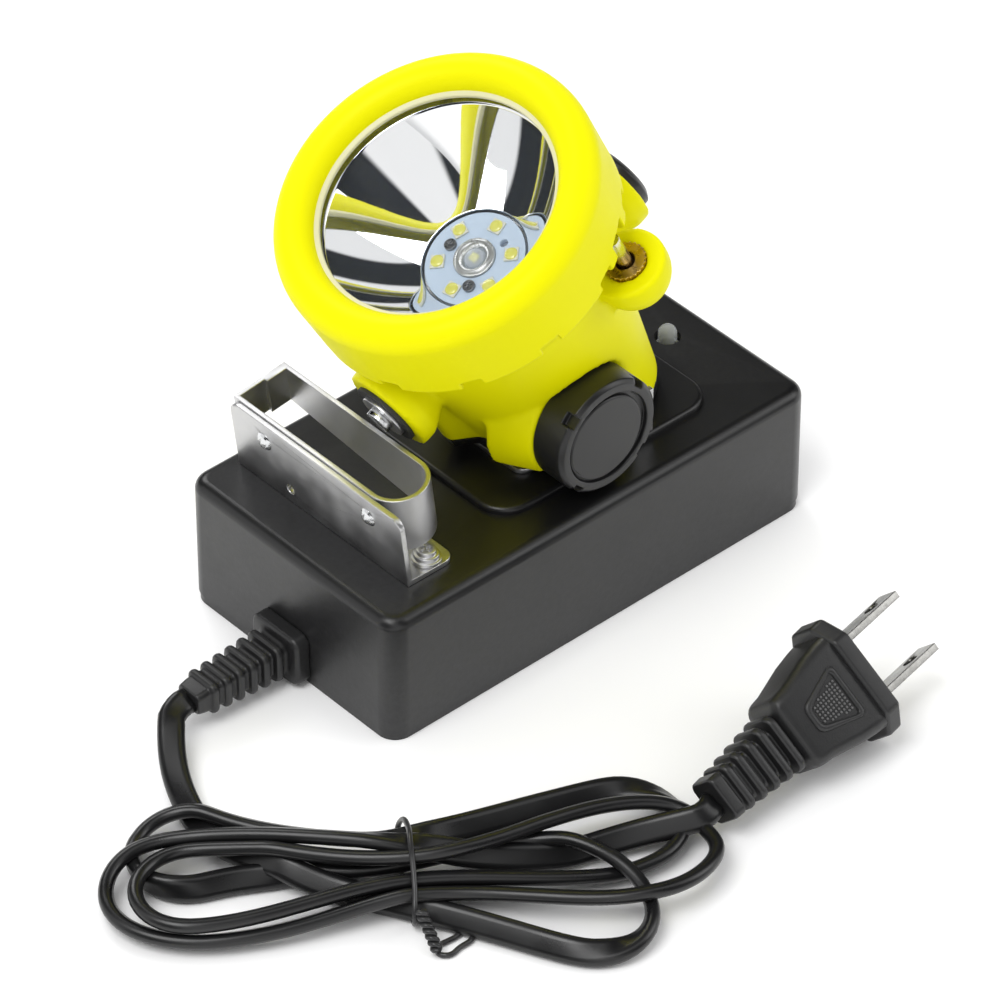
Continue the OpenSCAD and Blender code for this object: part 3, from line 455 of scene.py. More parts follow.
flange_rings = [[on_plug(x, y, z) for x, y in cut_corner_outline(l, w, FLANGE_CUT)]
                for z, l, w in ((-2.0, FLANGE_LONG, FLANGE_SHORT), (2.0, FLANGE_LONG, FLANGE_SHORT))]
flange = add_piece("plug_flange", skin_rings("plug_flange", flange_rings), "charger",
                   "black_rubber")
soft_edges(flange, 0.8 * MM, segments=3)
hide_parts("plug_body")
print("plug rings", len(plug_rings))

# %% Plug grip frame and pips
GRIP_BACK, GRIP_FRONT = -15.0, -4.6
GRIP_BACK_HALF, GRIP_FRONT_HALF = 3.0, 6.2


def grip_outline(inset, steps=5):
    """A trapezium with round corners on the plug's broad face: (x, z) pairs."""
    front, back = GRIP_FRONT_HALF - inset, GRIP_BACK_HALF - inset
    corners = [(front, GRIP_FRONT - inset), (-front, GRIP_FRONT - inset),
               (-back, GRIP_BACK + inset), (back, GRIP_BACK + inset)]
    radius = 1.7 - inset * 0.4
    points = []
    for i, (x, z) in enumerate(corners):
        before = Vector(corners[i - 1]) - Vector((x, z))
        after = Vector(corners[(i + 1) % 4]) - Vector((x, z))
        start = Vector((x, z)) + before.normalized() * radius
        end = Vector((x, z)) + after.normalized() * radius
        for step in range(steps + 1):
            t = step / steps
            points.append(tuple(start * (1 - t) ** 2 + Vector((x, z)) * 2 * t * (1 - t)
                                + end * t * t))
    return points


def grip_height(z):
    """Height of the plug's broad face above its middle, from the shoulder's own rows."""
    rows = sorted((row[0], row[2] / 2) for row in shoulder_rows)
    return float(np.interp(z, [r[0] for r in rows], [r[1] for r in rows]))


frame_rings = []
for inset, rise in ((0.0, -0.3), (0.0, 0.25), (0.35, 0.5), (0.9, 0.5), (1.15, 0.2), (1.15, -0.3)):
    frame_rings.append([on_plug(x, grip_height(z) + rise, z) for x, z in grip_outline(inset)])
grip_frame = add_piece("plug_grip_frame", skin_rings("plug_grip_frame", frame_rings, closed=True),
                       "charger", "black_rubber")

PIP_PITCH, PIP_RADIUS, PIP_LIFT = 0.8, 0.3, 0.1
PIP_COLUMNS, PIP_ROWS = 17, 14
FRONT_MARGIN, SIDE_MARGIN, BACK_MARGIN = 1.9, 1.7, 1.6
pips = bmesh.new()
for column in range(PIP_COLUMNS):
    for row in range(PIP_ROWS):
        x = (column - PIP_COLUMNS // 2) * PIP_PITCH
        z = GRIP_FRONT - FRONT_MARGIN - row * PIP_PITCH
        share = (GRIP_FRONT - z) / (GRIP_FRONT - GRIP_BACK)
        half = GRIP_FRONT_HALF + (GRIP_BACK_HALF - GRIP_FRONT_HALF) * share - SIDE_MARGIN
        if z < GRIP_BACK + BACK_MARGIN or abs(x) > half:
            continue
        place = Matrix.Translation(on_plug(x, grip_height(z) + PIP_LIFT, z))
        bmesh.ops.create_icosphere(pips, subdivisions=1, radius=PIP_RADIUS * MM, matrix=place)
pip_mesh = bpy.data.meshes.new("plug_pips")
pips.to_mesh(pip_mesh)
pips.free()
# The pips get a paler finish than the rubber they are moulded in, a painted glint on each pip.
plug_pips = add_piece("plug_pips", pip_mesh, "charger", "black_rubber")
print("pips", len(pip_mesh.vertices) // 12)

# %% [markdown]
# ## The tie
# A thin plastic-covered wire holds the hank. It goes once round all seven runs, then its two
# ends are twisted together and one end is left as a small loop on the floor. Round wire is the
# one thing here that a curve with a round bevel draws exactly. Each wire starts as such a
# curve and is then made a mesh, so that no point of it can sink into the floor.


# %% Tie wire
def on_hank(along, across, height):
    """A point in the hank's own directions, in millimetres."""
    return HANK_CENTRE + (HANK_ALONG * along + HANK_ACROSS * across) * MM \
        + Vector((0, 0, height * MM))


def wire(name, points, radius, cyclic=False):
    """A smooth round wire through points."""
    data = bpy.data.curves.new(name, "CURVE")
    data.dimensions = "3D"
    data.bevel_depth = radius
    data.bevel_resolution = 3
    data.resolution_u = 10
    data.use_fill_caps = True
    spline = data.splines.new("BEZIER")
    spline.bezier_points.add(len(points) - 1)
    for knot, point in zip(spline.bezier_points, points):
        knot.co = point
        knot.handle_left_type = knot.handle_right_type = "AUTO"
    spline.use_cyclic_u = cyclic
    return data


def add_wire(name, data, body, slot):
    """Turns a wire's curve into a mesh and puts it in the scene as a piece."""
    curve = bpy.data.objects.new(name + "_curve", data)
    bpy.context.scene.collection.objects.link(curve)
    bpy.context.view_layer.update()
    graph = bpy.context.evaluated_depsgraph_get()
    mesh = bpy.data.meshes.new_from_object(curve.evaluated_get(graph))
    mesh.name = name
    bpy.data.objects.remove(curve)
    for vertex in mesh.vertices:
        vertex.co.z = max(vertex.co.z, FLOOR_CLEAR)
    return add_piece(name, mesh, body, slot)


TIE_RADIUS = 0.55 * MM
near_tie = [Vector(p) for p in line if abs((Vector(p) - HANK_CENTRE).dot(HANK_ALONG)) < 2.5 * MM]
hank_front = min((p - HANK_CENTRE).dot(HANK_ACROSS) for p in near_tie) / MM
hank_back = max((p - HANK_CENTRE).dot(HANK_ACROSS) for p in near_tie) / MM
hank_top = max(p.z for p in near_tie) / MM
top_run = max(near_tie, key=lambda p: p.z)
top_across = (top_run - HANK_CENTRE).dot(HANK_ACROSS) / MM
loop_points = [on_hank(1.6, top_across + 1.8, hank_top + 1.4),
               on_hank(0.8, top_across - 2.6, hank_top + 2.5),
               on_hank(-0.6, hank_front + 1.0, hank_top * 0.72 + 1.2),
               on_hank(-1.6, hank_front - 3.0, hank_top * 0.38 + 1.0),
               on_hank(-1.6, hank_front - 3.0, 3.2), on_hank(-1.2, hank_front - 0.6, 1.0),
               on_hank(-0.5, (hank_front + hank_back) / 2, 0.7),
               on_hank(0.2, hank_back, 1.0), on_hank(1.2, hank_back + 4.6, 3.4),
               on_hank(1.8, hank_back + 4.0, hank_top * 0.7)]
tie_loop = add_wire("tie_loop", wire("tie_loop", loop_points, TIE_RADIUS, cyclic=True),
                    "charger", "tie_plastic")
twist_start = np.array(on_hank(-0.6, hank_front - 3.6, 6.4))
twist_end = np.array(on_hank(1.0, hank_front - 9.6, 1.3))
twist_line = twist_end - twist_start
twist_side = np.cross(twist_line, (0, 0, 1))
twist_side /= np.linalg.norm(twist_side)
twist_up = np.cross(twist_side, twist_line)
twist_up /= np.linalg.norm(twist_up)
TWIST_TURNS, TWIST_RADIUS, TWIST_STEPS = 3.2, 0.68 * MM, 32
for strand in range(2):
    points = []
    for step in range(TWIST_STEPS + 1):
        t = step / TWIST_STEPS
        a = 2 * math.pi * (TWIST_TURNS * t + strand / 2)
        points.append(Vector(twist_start + twist_line * t
                             + TWIST_RADIUS * (twist_side * math.cos(a) + twist_up * math.sin(a))))
    if strand:
        tip = Vector(twist_end)
        points += [tip + (HANK_ALONG * 1.6 - HANK_ACROSS * 0.8) * MM,
                   tip + (HANK_ALONG * 4.4 + HANK_ACROSS * 0.6) * MM,
                   tip + (HANK_ALONG * 7.4 + HANK_ACROSS * 3.0) * MM,
                   tip + (HANK_ALONG * 6.6 + HANK_ACROSS * 4.2) * MM,
                   tip + (HANK_ALONG * 3.6 + HANK_ACROSS * 3.2) * MM,
                   tip + (HANK_ALONG * 1.4 + HANK_ACROSS * 2.4) * MM]
        for point in points[TWIST_STEPS + 1:]:
            point.z = TIE_RADIUS * 1.1
    add_wire(f"tie_twist_{strand + 1}", wire(f"tie_twist_{strand + 1}", points, TIE_RADIUS),
             "charger", "tie_plastic")
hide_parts("cord_tie")

print("tie at", [round(v, 4) for v in loop_points[0]])

# %% [markdown]
# ## Soft shapes for the moulded lamp
# The CAD housing is a barrel with bosses, ears and a lug standing on it, and every joint
# between them is a sharp line. The real moulding flows from one into the next. A voxel remesh
# turns the solid into an even skin, and a few rounds of smoothing melt the joints into small
# fillets. Bevels can't do this, because the joints are curves between tapered shapes.


# %% Melt a CAD solid into a moulded skin
def moulded_copy(node, name, voxel, rounds, slot):
    """A smooth copy of a CAD node with blended joints and soft edges."""
    mesh = frame["nodes"][node].data.copy()
    shape = bmesh.new()
    shape.from_mesh(mesh)
    bmesh.ops.remove_doubles(shape, verts=shape.verts, dist=1e-6)
    shape.to_mesh(mesh)
    shape.free()
    rough = bpy.data.objects.new(name + "_rough", mesh)
    bpy.context.scene.collection.objects.link(rough)
    skin = rough.modifiers.new("skin", "REMESH")
    skin.mode = "VOXEL"
    skin.voxel_size = voxel
    ease = rough.modifiers.new("ease", "SMOOTH")
    ease.factor = 0.5
    ease.iterations = rounds
    bpy.context.view_layer.update()
    graph = bpy.context.evaluated_depsgraph_get()
    smooth_mesh = bpy.data.meshes.new_from_object(rough.evaluated_get(graph))
    smooth_mesh.name = name
    smooth_mesh.materials.clear()
    bpy.data.objects.remove(rough)
    body = frame["nodes"][node]["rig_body"]
    piece = add_piece(name, smooth_mesh, body, slot)
    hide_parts(node)
    print(name, "faces", len(smooth_mesh.polygons))


moulded_copy("lamp_housing", "lamp_housing_skin", 0.5 * MM, 14, "yellow_abs")
moulded_copy("bezel_ring", "bezel_skin", 0.32 * MM, 4, "yellow_abs")

# %% [markdown]
# ## Reflector
# A reflector is a bowl that throws the source's light out, and any flat band in it would show
# at once as a broken reflection. The CAD bowl is a parabola in ten bands, which is enough for
# its size and weight. This one is turned from the same rim and root with many more bands. It
# is a little steeper at the root and less steep at the rim, and stands up to a millimetre off
# the parabola between them, so that it catches the bright panels round the beam.

# %% The lamp's own directions
screw_joint = next(j for j in frame["joints"] if j["name"] == "lock_screw_travel")
BEAM = Vector(screw_joint["axis"]).normalized()
ACROSS = Vector((0, 1, 0))
LAMP_UP = ACROSS.cross(BEAM)
board_low, board_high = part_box("led_board")
BOARD_MIDDLE = (board_low + board_high) / 2
BOARD_THICK = 1.2 * MM
SOURCE = BOARD_MIDDLE + BEAM * (BOARD_THICK / 2)


def on_lamp(x, y, z):
    """A point in the lamp's directions, in metres from the face of the light-source board."""
    return SOURCE + LAMP_UP * x + ACROSS * y + BEAM * z


def lathe(name, profile, body, slot, steps=128):
    """A piece turned about the beam from (radius, height) pairs in metres."""
    rings = []
    for step in range(steps):
        a = 2 * math.pi * step / steps
        rings.append([on_lamp(r * math.cos(a), r * math.sin(a), z) for r, z in profile])
    return add_piece(name, skin_rings(name, rings, closed=True), body, slot)


REFLECTOR_ROOT, REFLECTOR_RIM = 10.7 * MM, 24.2 * MM
REFLECTOR_DEPTH = 17.6 * MM
REFLECTOR_FLANGE = 28.2 * MM
BOWL_STEPS = 48
ROOT_SLOPE, BOWL_POWER = 1.13, 2.5
bowl_span = REFLECTOR_RIM - REFLECTOR_ROOT
bowl_bend = (REFLECTOR_DEPTH - ROOT_SLOPE * bowl_span) / bowl_span ** BOWL_POWER
bowl = [(REFLECTOR_ROOT + t, ROOT_SLOPE * t + bowl_bend * t ** BOWL_POWER)
        for t in np.linspace(0, bowl_span, BOWL_STEPS)]
SKIN, BACK_DROP, RIM_STEP = 0.7 * MM, 0.3 * MM, 0.25 * MM
back = [(r + SKIN, min(z - BACK_DROP, REFLECTOR_DEPTH - SKIN)) for r, z in reversed(bowl)]
bowl_profile = bowl + [(REFLECTOR_RIM + RIM_STEP, REFLECTOR_DEPTH),
                       (REFLECTOR_FLANGE, REFLECTOR_DEPTH),
                       (REFLECTOR_FLANGE, REFLECTOR_DEPTH - SKIN)] + back
reflector = lathe("reflector_bowl", bowl_profile, "lamp", "mirror_coat", 160)
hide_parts("reflector")
print("reflector faces", len(reflector.data.polygons))

# %% Ring in front of the lens
# This ring and the CAD lens seal get a cream finish further on, a painted highlight for the light
# that falls on the lip's inner wall.
RING_IN, RING_OUT, RING_LOW, RING_HIGH, RING_SLOPE = 23.8, 24.8, 19.66, 20.5, 0.5
lens_ring = lathe("lens_ring", [(RING_IN * MM, RING_LOW * MM), (RING_IN * MM, RING_HIGH * MM),
                                (RING_OUT * MM, (RING_HIGH + RING_SLOPE) * MM),
                                (RING_OUT * MM, RING_LOW * MM)], "lamp", "seal_rubber")
soft_edges(lens_ring, 0.2 * MM)
print("lens ring faces", len(lens_ring.data.polygons))

# %% [markdown]
# ## Light sources
# Round the main source stand six small ones. Each is a pale square package with a low dome of
# yellow phosphor gel. The CAD's plain shapes carry their size, and these carry the look.

# %% Side sources
SPOT_RING, SPOT_TURN = 7.6 * MM, math.radians(8)
PACKAGE, PACKAGE_HIGH, GEL, GEL_HIGH = 2.9 * MM, 0.5 * MM, 1.35 * MM, 0.35 * MM
SPOTS = 6
packages, gels = bmesh.new(), bmesh.new()
lamp_turn = Matrix((LAMP_UP, ACROSS, BEAM)).transposed().to_4x4()
for spot in range(SPOTS):
    a = SPOT_TURN + math.radians(360 / SPOTS * spot)
    centre = on_lamp(SPOT_RING * math.cos(a), SPOT_RING * math.sin(a), PACKAGE_HIGH / 2)
    place = Matrix.Translation(centre) @ lamp_turn @ Matrix.Rotation(a, 4, "Z")
    bmesh.ops.create_cube(packages, size=1, matrix=place @ Matrix.Diagonal(
        (PACKAGE, PACKAGE, PACKAGE_HIGH, 1)))
    top = place @ Matrix.Translation((0, 0, PACKAGE_HIGH / 2))
    bmesh.ops.create_uvsphere(gels, u_segments=24, v_segments=10, radius=1, matrix=top
                              @ Matrix.Diagonal((GEL, GEL, GEL_HIGH, 1)))
package_mesh, gel_mesh = bpy.data.meshes.new("side_packages"), bpy.data.meshes.new("side_gels")
packages.to_mesh(package_mesh)
gels.to_mesh(gel_mesh)
packages.free()
gels.free()
side_packages = soft_edges(add_piece("side_packages", package_mesh, "lamp", "led_package"),
                           0.12 * MM)
add_piece("side_gels", gel_mesh, "lamp", "led_phosphor")
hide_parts("side_leds")
print("side sources on a ring of", SPOT_RING)

# %% Main source
CUP_PROFILE = [(2.3, 0.25), (2.9, 0.9), (3.4, 1.15), (3.7, 0.8), (4.2, 0.7), (4.35, 0.0),
               (3.0, -0.05), (2.2, -0.05)]
main_cup = lathe("main_led_cup", [(r * MM, z * MM) for r, z in CUP_PROFILE], "lamp", "led_package",
                 64)
DOME_RADIUS, DOME_HIGH, DOME_TIP, DOME_STEPS = 2.3, 1.6, 0.02, 12
DIE, DIE_HIGH, DIE_MIDDLE = 1.7, 0.5, 0.4
dome_profile = [(max(DOME_RADIUS * math.sin(a), DOME_TIP) * MM, DOME_HIGH * math.cos(a) * MM)
                for a in np.linspace(0, math.pi / 2, DOME_STEPS)]
dome_profile.append((DOME_TIP * MM, 0.0))
lathe("main_led_dome", dome_profile, "lamp", "clear_led", 48)
die_shape = bmesh.new()
bmesh.ops.create_cube(die_shape, size=1, matrix=Matrix.Translation(on_lamp(0, 0, DIE_MIDDLE * MM))
                      @ lamp_turn @ Matrix.Diagonal((DIE * MM, DIE * MM, DIE_HIGH * MM, 1)))
die_mesh = bpy.data.meshes.new("main_led_die")
die_shape.to_mesh(die_mesh)
die_shape.free()
add_piece("main_led_die", die_mesh, "lamp", "led_phosphor", smooth=False)
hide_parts("main_led")
print("main source faces", len(main_cup.data.polygons))

# %% [markdown]
# ## CAD parts that stay
# The rest of the CAD parts have the right shape already. None of their points is moved: a weld
# joins the split corners, a narrow bevel breaks the edges, and weighted normals keep the big
# faces flat. Parts with no width in the table keep sharp edges, which are split for shading.

# %% Smooth the CAD parts
EDGE_WIDTHS = {"bracket_plate": 0.18, "bracket_loop": 0.14,
               "bracket_screws": 0.12, "bracket_rivets": 0.12, "switch_knob": 0.22,
               "knob_disc": 0.1, "hat_hook": 0.16, "terminal_screw": 0.15, "terminal_washer": 0.08,
               "terminal_ring": 0.1, "top_cap": 0.25, "plug_blades": 0.18, "brass_insert": 0.06,
               "rear_cover": 0.2, "board_screws": 0.05, "led_board": 0.08, "lens": 0.1,
               "cover_screws": 0.08, "hook_screws": 0.08}
SHARP, WELD = math.radians(40), 2e-6
for name, node in frame["nodes"].items():
    if node.hide_render:
        continue
    for polygon in node.data.polygons:
        polygon.use_smooth = True
    if node.data.attributes.get("custom_normal"):
        node.data.attributes.remove(node.data.attributes["custom_normal"])
    weld = node.modifiers.new("weld", "WELD")
    weld.merge_threshold = WELD
    if name in EDGE_WIDTHS:
        bevel = node.modifiers.new("edges", "BEVEL")
        bevel.width = EDGE_WIDTHS[name] * MM
        bevel.segments = 2
        bevel.limit_method = "ANGLE"
        bevel.angle_limit = SHARP
        bevel.use_clamp_overlap = False
    else:
        split = node.modifiers.new("sharp_edges", "EDGE_SPLIT")
        split.split_angle = SHARP
    normals = node.modifiers.new("normals", "WEIGHTED_NORMAL")
    normals.keep_sharp = True
print("CAD parts shown", sum(not n.hide_render for n in frame["nodes"].values()))

# %% [markdown]
# ## Surface effects
# Three effects turn up in nearly every finish, so each is a shader group built once: a fine
# grain that a Bump node turns into texture, patches of handling that vary the roughness, and
# rubbed edges found from how sharply the surface turns. Each material places the groups with
# its own sizes, and keeps its shader and its plain numbers to itself.


# %% Shader groups
def new_group(name, inputs, outputs):
    """A shader node group with its sockets."""
    group = bpy.data.node_groups.new(name, "ShaderNodeTree")
    for label, kind, value in inputs:
        socket = group.interface.new_socket(label, in_out="INPUT", socket_type=kind)
        socket.default_value = value
    for label, kind in outputs:
        group.interface.new_socket(label, in_out="OUTPUT", socket_type=kind)
    return group, group.nodes.new("NodeGroupInput"), group.nodes.new("NodeGroupOutput")


def link(tree, start, end):
    """Joins two sockets."""
    tree.links.new(start, end)


def feed(tree, value, socket):
    """Gives a socket its value, which is a number or another socket."""
    if isinstance(value, (int, float)):
        socket.default_value = value
    else:
        link(tree, value, socket)


def maths(tree, operation, first, second=None):
    """A maths node. first and second are sockets or numbers."""
    node = tree.nodes.new("ShaderNodeMath")
    node.operation = operation
    feed(tree, first, node.inputs[0])
    if second is not None:
        feed(tree, second, node.inputs[1])
    return node.outputs[0]


def map_range(tree, value, start, end, smooth=False):
    """Maps a value from one pair of limits to another. end may hold sockets."""
    node = tree.nodes.new("ShaderNodeMapRange")
    if smooth:
        node.interpolation_type = "SMOOTHSTEP"
    link(tree, value, node.inputs["Value"])
    for label, limit in zip(("From Min", "From Max", "To Min", "To Max"), (*start, *end)):
        feed(tree, limit, node.inputs[label])
    return node.outputs["Result"]


def noise_at(tree, coordinates, scale, detail=3.0, rough=0.55):
    """A noise texture on the object's own coordinates. scale is a socket or a number."""
    node = tree.nodes.new("ShaderNodeTexNoise")
    node.inputs["Detail"].default_value = detail
    node.inputs["Roughness"].default_value = rough
    link(tree, coordinates, node.inputs["Vector"])
    feed(tree, scale, node.inputs["Scale"])
    return node.outputs["Fac"]


FLOAT = "NodeSocketFloat"
MM_PER_METRE = 1000.0
COARSE_SCALE, COARSE_SHARE = 320.0, 0.6
PATCH_LIMITS = (0.3, 0.7)
EDGE_LIMITS, CHIP_SCALE = (0.52, 0.62), 900.0
grain_group, g_in, g_out = new_group("fine grain", [("Size mm", FLOAT, 0.4)], [("Height", FLOAT)])
where = grain_group.nodes.new("ShaderNodeTexCoord").outputs["Object"]
fine = maths(grain_group, "DIVIDE", MM_PER_METRE, g_in.outputs["Size mm"])
coarse = maths(grain_group, "DIVIDE", COARSE_SCALE, g_in.outputs["Size mm"])
both = maths(grain_group, "ADD", noise_at(grain_group, where, fine, 2.0),
             maths(grain_group, "MULTIPLY", noise_at(grain_group, where, coarse, 2.0),
                   COARSE_SHARE))
link(grain_group, both, g_out.inputs["Height"])

patch_group, p_in, p_out = new_group(
    "handled patches", [("Size mm", FLOAT, 12.0), ("Low", FLOAT, 0.35), ("High", FLOAT, 0.5)],
    [("Value", FLOAT), ("Mask", FLOAT)])
where = patch_group.nodes.new("ShaderNodeTexCoord").outputs["Object"]
broad = maths(patch_group, "DIVIDE", MM_PER_METRE, p_in.outputs["Size mm"])
patches = noise_at(patch_group, where, broad, 4.0)
spread = map_range(patch_group, patches, PATCH_LIMITS, (p_in.outputs["Low"], p_in.outputs["High"]))
link(patch_group, spread, p_out.inputs["Value"])
link(patch_group, patches, p_out.inputs["Mask"])

edge_group, e_in, e_out = new_group("rubbed edges", [("Amount", FLOAT, 0.5)], [("Mask", FLOAT)])
turned = edge_group.nodes.new("ShaderNodeNewGeometry").outputs["Pointiness"]
where = edge_group.nodes.new("ShaderNodeTexCoord").outputs["Object"]
sharp = map_range(edge_group, turned, EDGE_LIMITS, (0.0, 1.0))
broken = maths(edge_group, "MULTIPLY", sharp, noise_at(edge_group, where, CHIP_SCALE))
link(edge_group, maths(edge_group, "MULTIPLY", broken, e_in.outputs["Amount"]),
     e_out.inputs["Mask"])
print("groups", [g.name for g in bpy.data.node_groups])

# %% [markdown]
# ## Finishes
# Every finish follows one recipe: a colour that drifts a little from patch to patch, a
# roughness that does too, grain as a bump at its real size, and paler or darker edges where
# hands and tools rub. Only the numbers differ, so a small builder takes them and the values
# that are the same all over go straight onto the shader.


# %% The finish builder
def place_group(tree, group, **values):
    """Places a shader group with its own numbers."""
    node = tree.nodes.new("ShaderNodeGroup")
    node.node_tree = group
    for label, value in values.items():
        node.inputs[label.replace("_", " ")].default_value = value
    return node


def mix_colours(tree, share, first, second):
    """Mixes two colours. Each is a socket or three numbers."""
    node = tree.nodes.new("ShaderNodeMix")
    node.data_type = "RGBA"
    link(tree, share, node.inputs["Factor"])
    for slot, value in ((6, first), (7, second)):
        if isinstance(value, (tuple, list)):
            node.inputs[slot].default_value = (*value, 1)
        else:
            link(tree, value, node.inputs[slot])
    return node.outputs[2]


def finish(name, colour, second, rough, metal=0.0, grain=(0.4, 0.01), patch=12.0, edge=None,
           **plain):
    """A material. rough is (low, high), grain is (size, depth) in mm, edge is (colour, amount)."""
    material = bpy.data.materials.new(name)
    material.use_nodes = True
    tree = material.node_tree
    shader = tree.nodes["Principled BSDF"]
    shader.inputs["Metallic"].default_value = metal
    for label, value in plain.items():
        shader.inputs[label.replace("_", " ")].default_value = value
    patches = place_group(tree, patch_group, Size_mm=patch, Low=rough[0], High=rough[1])
    base = mix_colours(tree, patches.outputs["Mask"], colour, second)
    if edge:
        rubbed = place_group(tree, edge_group, Amount=edge[1])
        base = mix_colours(tree, rubbed.outputs["Mask"], base, edge[0])
    link(tree, base, shader.inputs["Base Color"])
    link(tree, patches.outputs["Value"], shader.inputs["Roughness"])
    if grain:
        texture = place_group(tree, grain_group, Size_mm=grain[0])
        bump = tree.nodes.new("ShaderNodeBump")
        bump.inputs["Strength"].default_value = 1.0
        bump.inputs["Distance"].default_value = grain[1] * MM
        link(tree, texture.outputs["Height"], bump.inputs["Height"])
        link(tree, bump.outputs["Normal"], shader.inputs["Normal"])
    return material


print("effects for a finish", [g.name for g in (grain_group, patch_group, edge_group)])

# %% Plastics, rubbers and papers
FINISHES = {
    "yellow_abs": finish("yellow_abs", (0.78, 0.75, 0.0002), (0.75, 0.72, 0.0002), (0.38, 0.48),
                         grain=(0.5, 0.002), patch=18, edge=((0.83, 0.80, 0.002), 0.4),
                         Specular_IOR_Level=0.07),
    "black_abs": finish("black_abs", (0.004, 0.004, 0.0043), (0.006, 0.006, 0.0063), (0.30, 0.38),
                        grain=(0.45, 0.012), edge=((0.05, 0.05, 0.052), 0.5),
                        Specular_IOR_Level=0.5),
    "knob_plastic": finish("knob_plastic", (0.007, 0.007, 0.0075), (0.011, 0.011, 0.0115),
                           (0.32, 0.40), grain=(0.35, 0.006), edge=((0.06, 0.06, 0.06), 0.4)),
    "black_rubber": finish("black_rubber", (0.008, 0.008, 0.0085), (0.013, 0.013, 0.0135),
                           (0.36, 0.48), grain=(0.35, 0.02), edge=((0.09, 0.09, 0.09), 0.5)),
    "cord_pvc": finish("cord_pvc", (0.006, 0.006, 0.0065), (0.009, 0.009, 0.0095), (0.26, 0.36),
                       grain=(0.5, 0.004), patch=9, edge=((0.04, 0.04, 0.04), 0.3)),
    "tie_plastic": finish("tie_plastic", (0.013, 0.013, 0.014), (0.03, 0.03, 0.031), (0.25, 0.4),
                          grain=(0.6, 0.01), patch=3),
    "seal_rubber": finish("seal_rubber", (0.02, 0.02, 0.02), (0.03, 0.03, 0.03), (0.6, 0.7)),
    "white_board": finish("white_board", (0.43, 0.53, 0.66), (0.48, 0.58, 0.70), (0.35, 0.45),
                          grain=(0.3, 0.003), patch=4),
    "circuit_board": finish("circuit_board", (0.02, 0.2, 0.07), (0.03, 0.25, 0.09), (0.35, 0.5)),
    "led_package": finish("led_package", (0.55, 0.57, 0.50), (0.62, 0.63, 0.54), (0.3, 0.4),
                          grain=(0.3, 0.002), patch=2),
    "led_phosphor": finish("led_phosphor", (0.52, 0.50, 0.03), (0.72, 0.72, 0.20), (0.12, 0.2),
                           grain=(0.2, 0.002), patch=1, Coat_Weight=0.6),
    "cell_sleeve": finish("cell_sleeve", (0.03, 0.14, 0.40), (0.04, 0.17, 0.45), (0.2, 0.3)),
    "switch_body": finish("switch_body", (0.045, 0.05, 0.06), (0.06, 0.065, 0.075), (0.4, 0.5)),
    "ferrite": finish("ferrite", (0.04, 0.04, 0.042), (0.055, 0.055, 0.057), (0.6, 0.75)),
    "coil_tape": finish("coil_tape", (0.62, 0.36, 0.05), (0.7, 0.42, 0.07), (0.25, 0.35)),
    "capacitor_sleeve": finish("capacitor_sleeve", (0.02, 0.05, 0.14), (0.03, 0.06, 0.17),
                               (0.25, 0.35)),
}
print("plastics", len(FINISHES))

# %% Metals
FINISHES.update({
    "nickel_plate": finish("nickel_plate", (0.44, 0.44, 0.45), (0.66, 0.66, 0.66), (0.28, 0.42),
                           metal=1.0, grain=(0.5, 0.002), patch=7, edge=((0.9, 0.9, 0.9), 0.6)),
    "chrome_strip": finish("chrome_strip", (0.48, 0.48, 0.49), (0.68, 0.68, 0.69), (0.28, 0.42),
                           metal=1.0, grain=(0.5, 0.002), patch=8, edge=((0.92, 0.92, 0.92), 0.6)),
    "zinc_steel": finish("zinc_steel", (0.60, 0.61, 0.62), (0.74, 0.75, 0.76), (0.14, 0.3),
                         metal=1.0, grain=(0.3, 0.006), patch=2, edge=((0.9, 0.9, 0.9), 0.5)),
    "aluminium": finish("aluminium", (0.62, 0.63, 0.64), (0.7, 0.71, 0.72), (0.25, 0.4),
                        metal=1.0, grain=(0.3, 0.004)),
    "brass": finish("brass", (0.42, 0.25, 0.06), (0.62, 0.42, 0.13), (0.2, 0.38), metal=1.0,
                    grain=(0.3, 0.008), patch=1.5, edge=((0.85, 0.65, 0.28), 0.8)),
    "blade_brass": finish("blade_brass", (0.10, 0.10, 0.095), (0.24, 0.235, 0.22), (0.2, 0.34),
                          metal=1.0, grain=(0.4, 0.001), patch=4, edge=((0.9, 0.89, 0.86), 0.8)),
    "mirror_coat": finish("mirror_coat", (0.90, 0.905, 0.91), (0.93, 0.935, 0.94), (0.015, 0.035),
                          metal=1.0, grain=(2.5, 0.0012), patch=6),
})
print("finishes", len(FINISHES))

# %% Clear parts and one-off finishes
FINISHES["clear_lens"] = finish("clear_lens", (0.30, 0.34, 0.40), (0.34, 0.38, 0.44), (0.01, 0.03),
                                grain=None, patch=15, Alpha=0.03)
FINISHES["clear_led"] = finish("clear_led", (0.80, 0.84, 0.88), (0.9, 0.93, 0.95), (0.03, 0.08),
                               grain=None, patch=2, Alpha=0.3)
# Cream for the lens seal and the ring in front of the lens: a painted highlight for the light on the
# lip's inner wall.
FINISHES["cream_seal"] = finish("cream_seal", (0.62, 0.60, 0.36), (0.70, 0.68, 0.44), (0.4, 0.5))
FINISHES["led_cup"] = finish("led_cup", (0.30, 0.31, 0.31), (0.44, 0.45, 0.44), (0.25, 0.35),
                             metal=0.6, grain=(0.3, 0.003), patch=2)
# Paler grey for the grip's pips, which are the same rubber as the plug: a painted glint on each pip.
FINISHES["pip_rubber"] = finish("pip_rubber", (0.09, 0.09, 0.09), (0.13, 0.13, 0.13), (0.3, 0.4),
                                patch=2)
# Darkened steel for the board screws: a painted shade for the shade in their cross recesses.
FINISHES["dull_steel"] = finish("dull_steel", (0.14, 0.145, 0.15), (0.26, 0.265, 0.27),
                                (0.25, 0.4), metal=1.0, grain=(0.3, 0.004), patch=1)
print("all finishes", len(FINISHES))
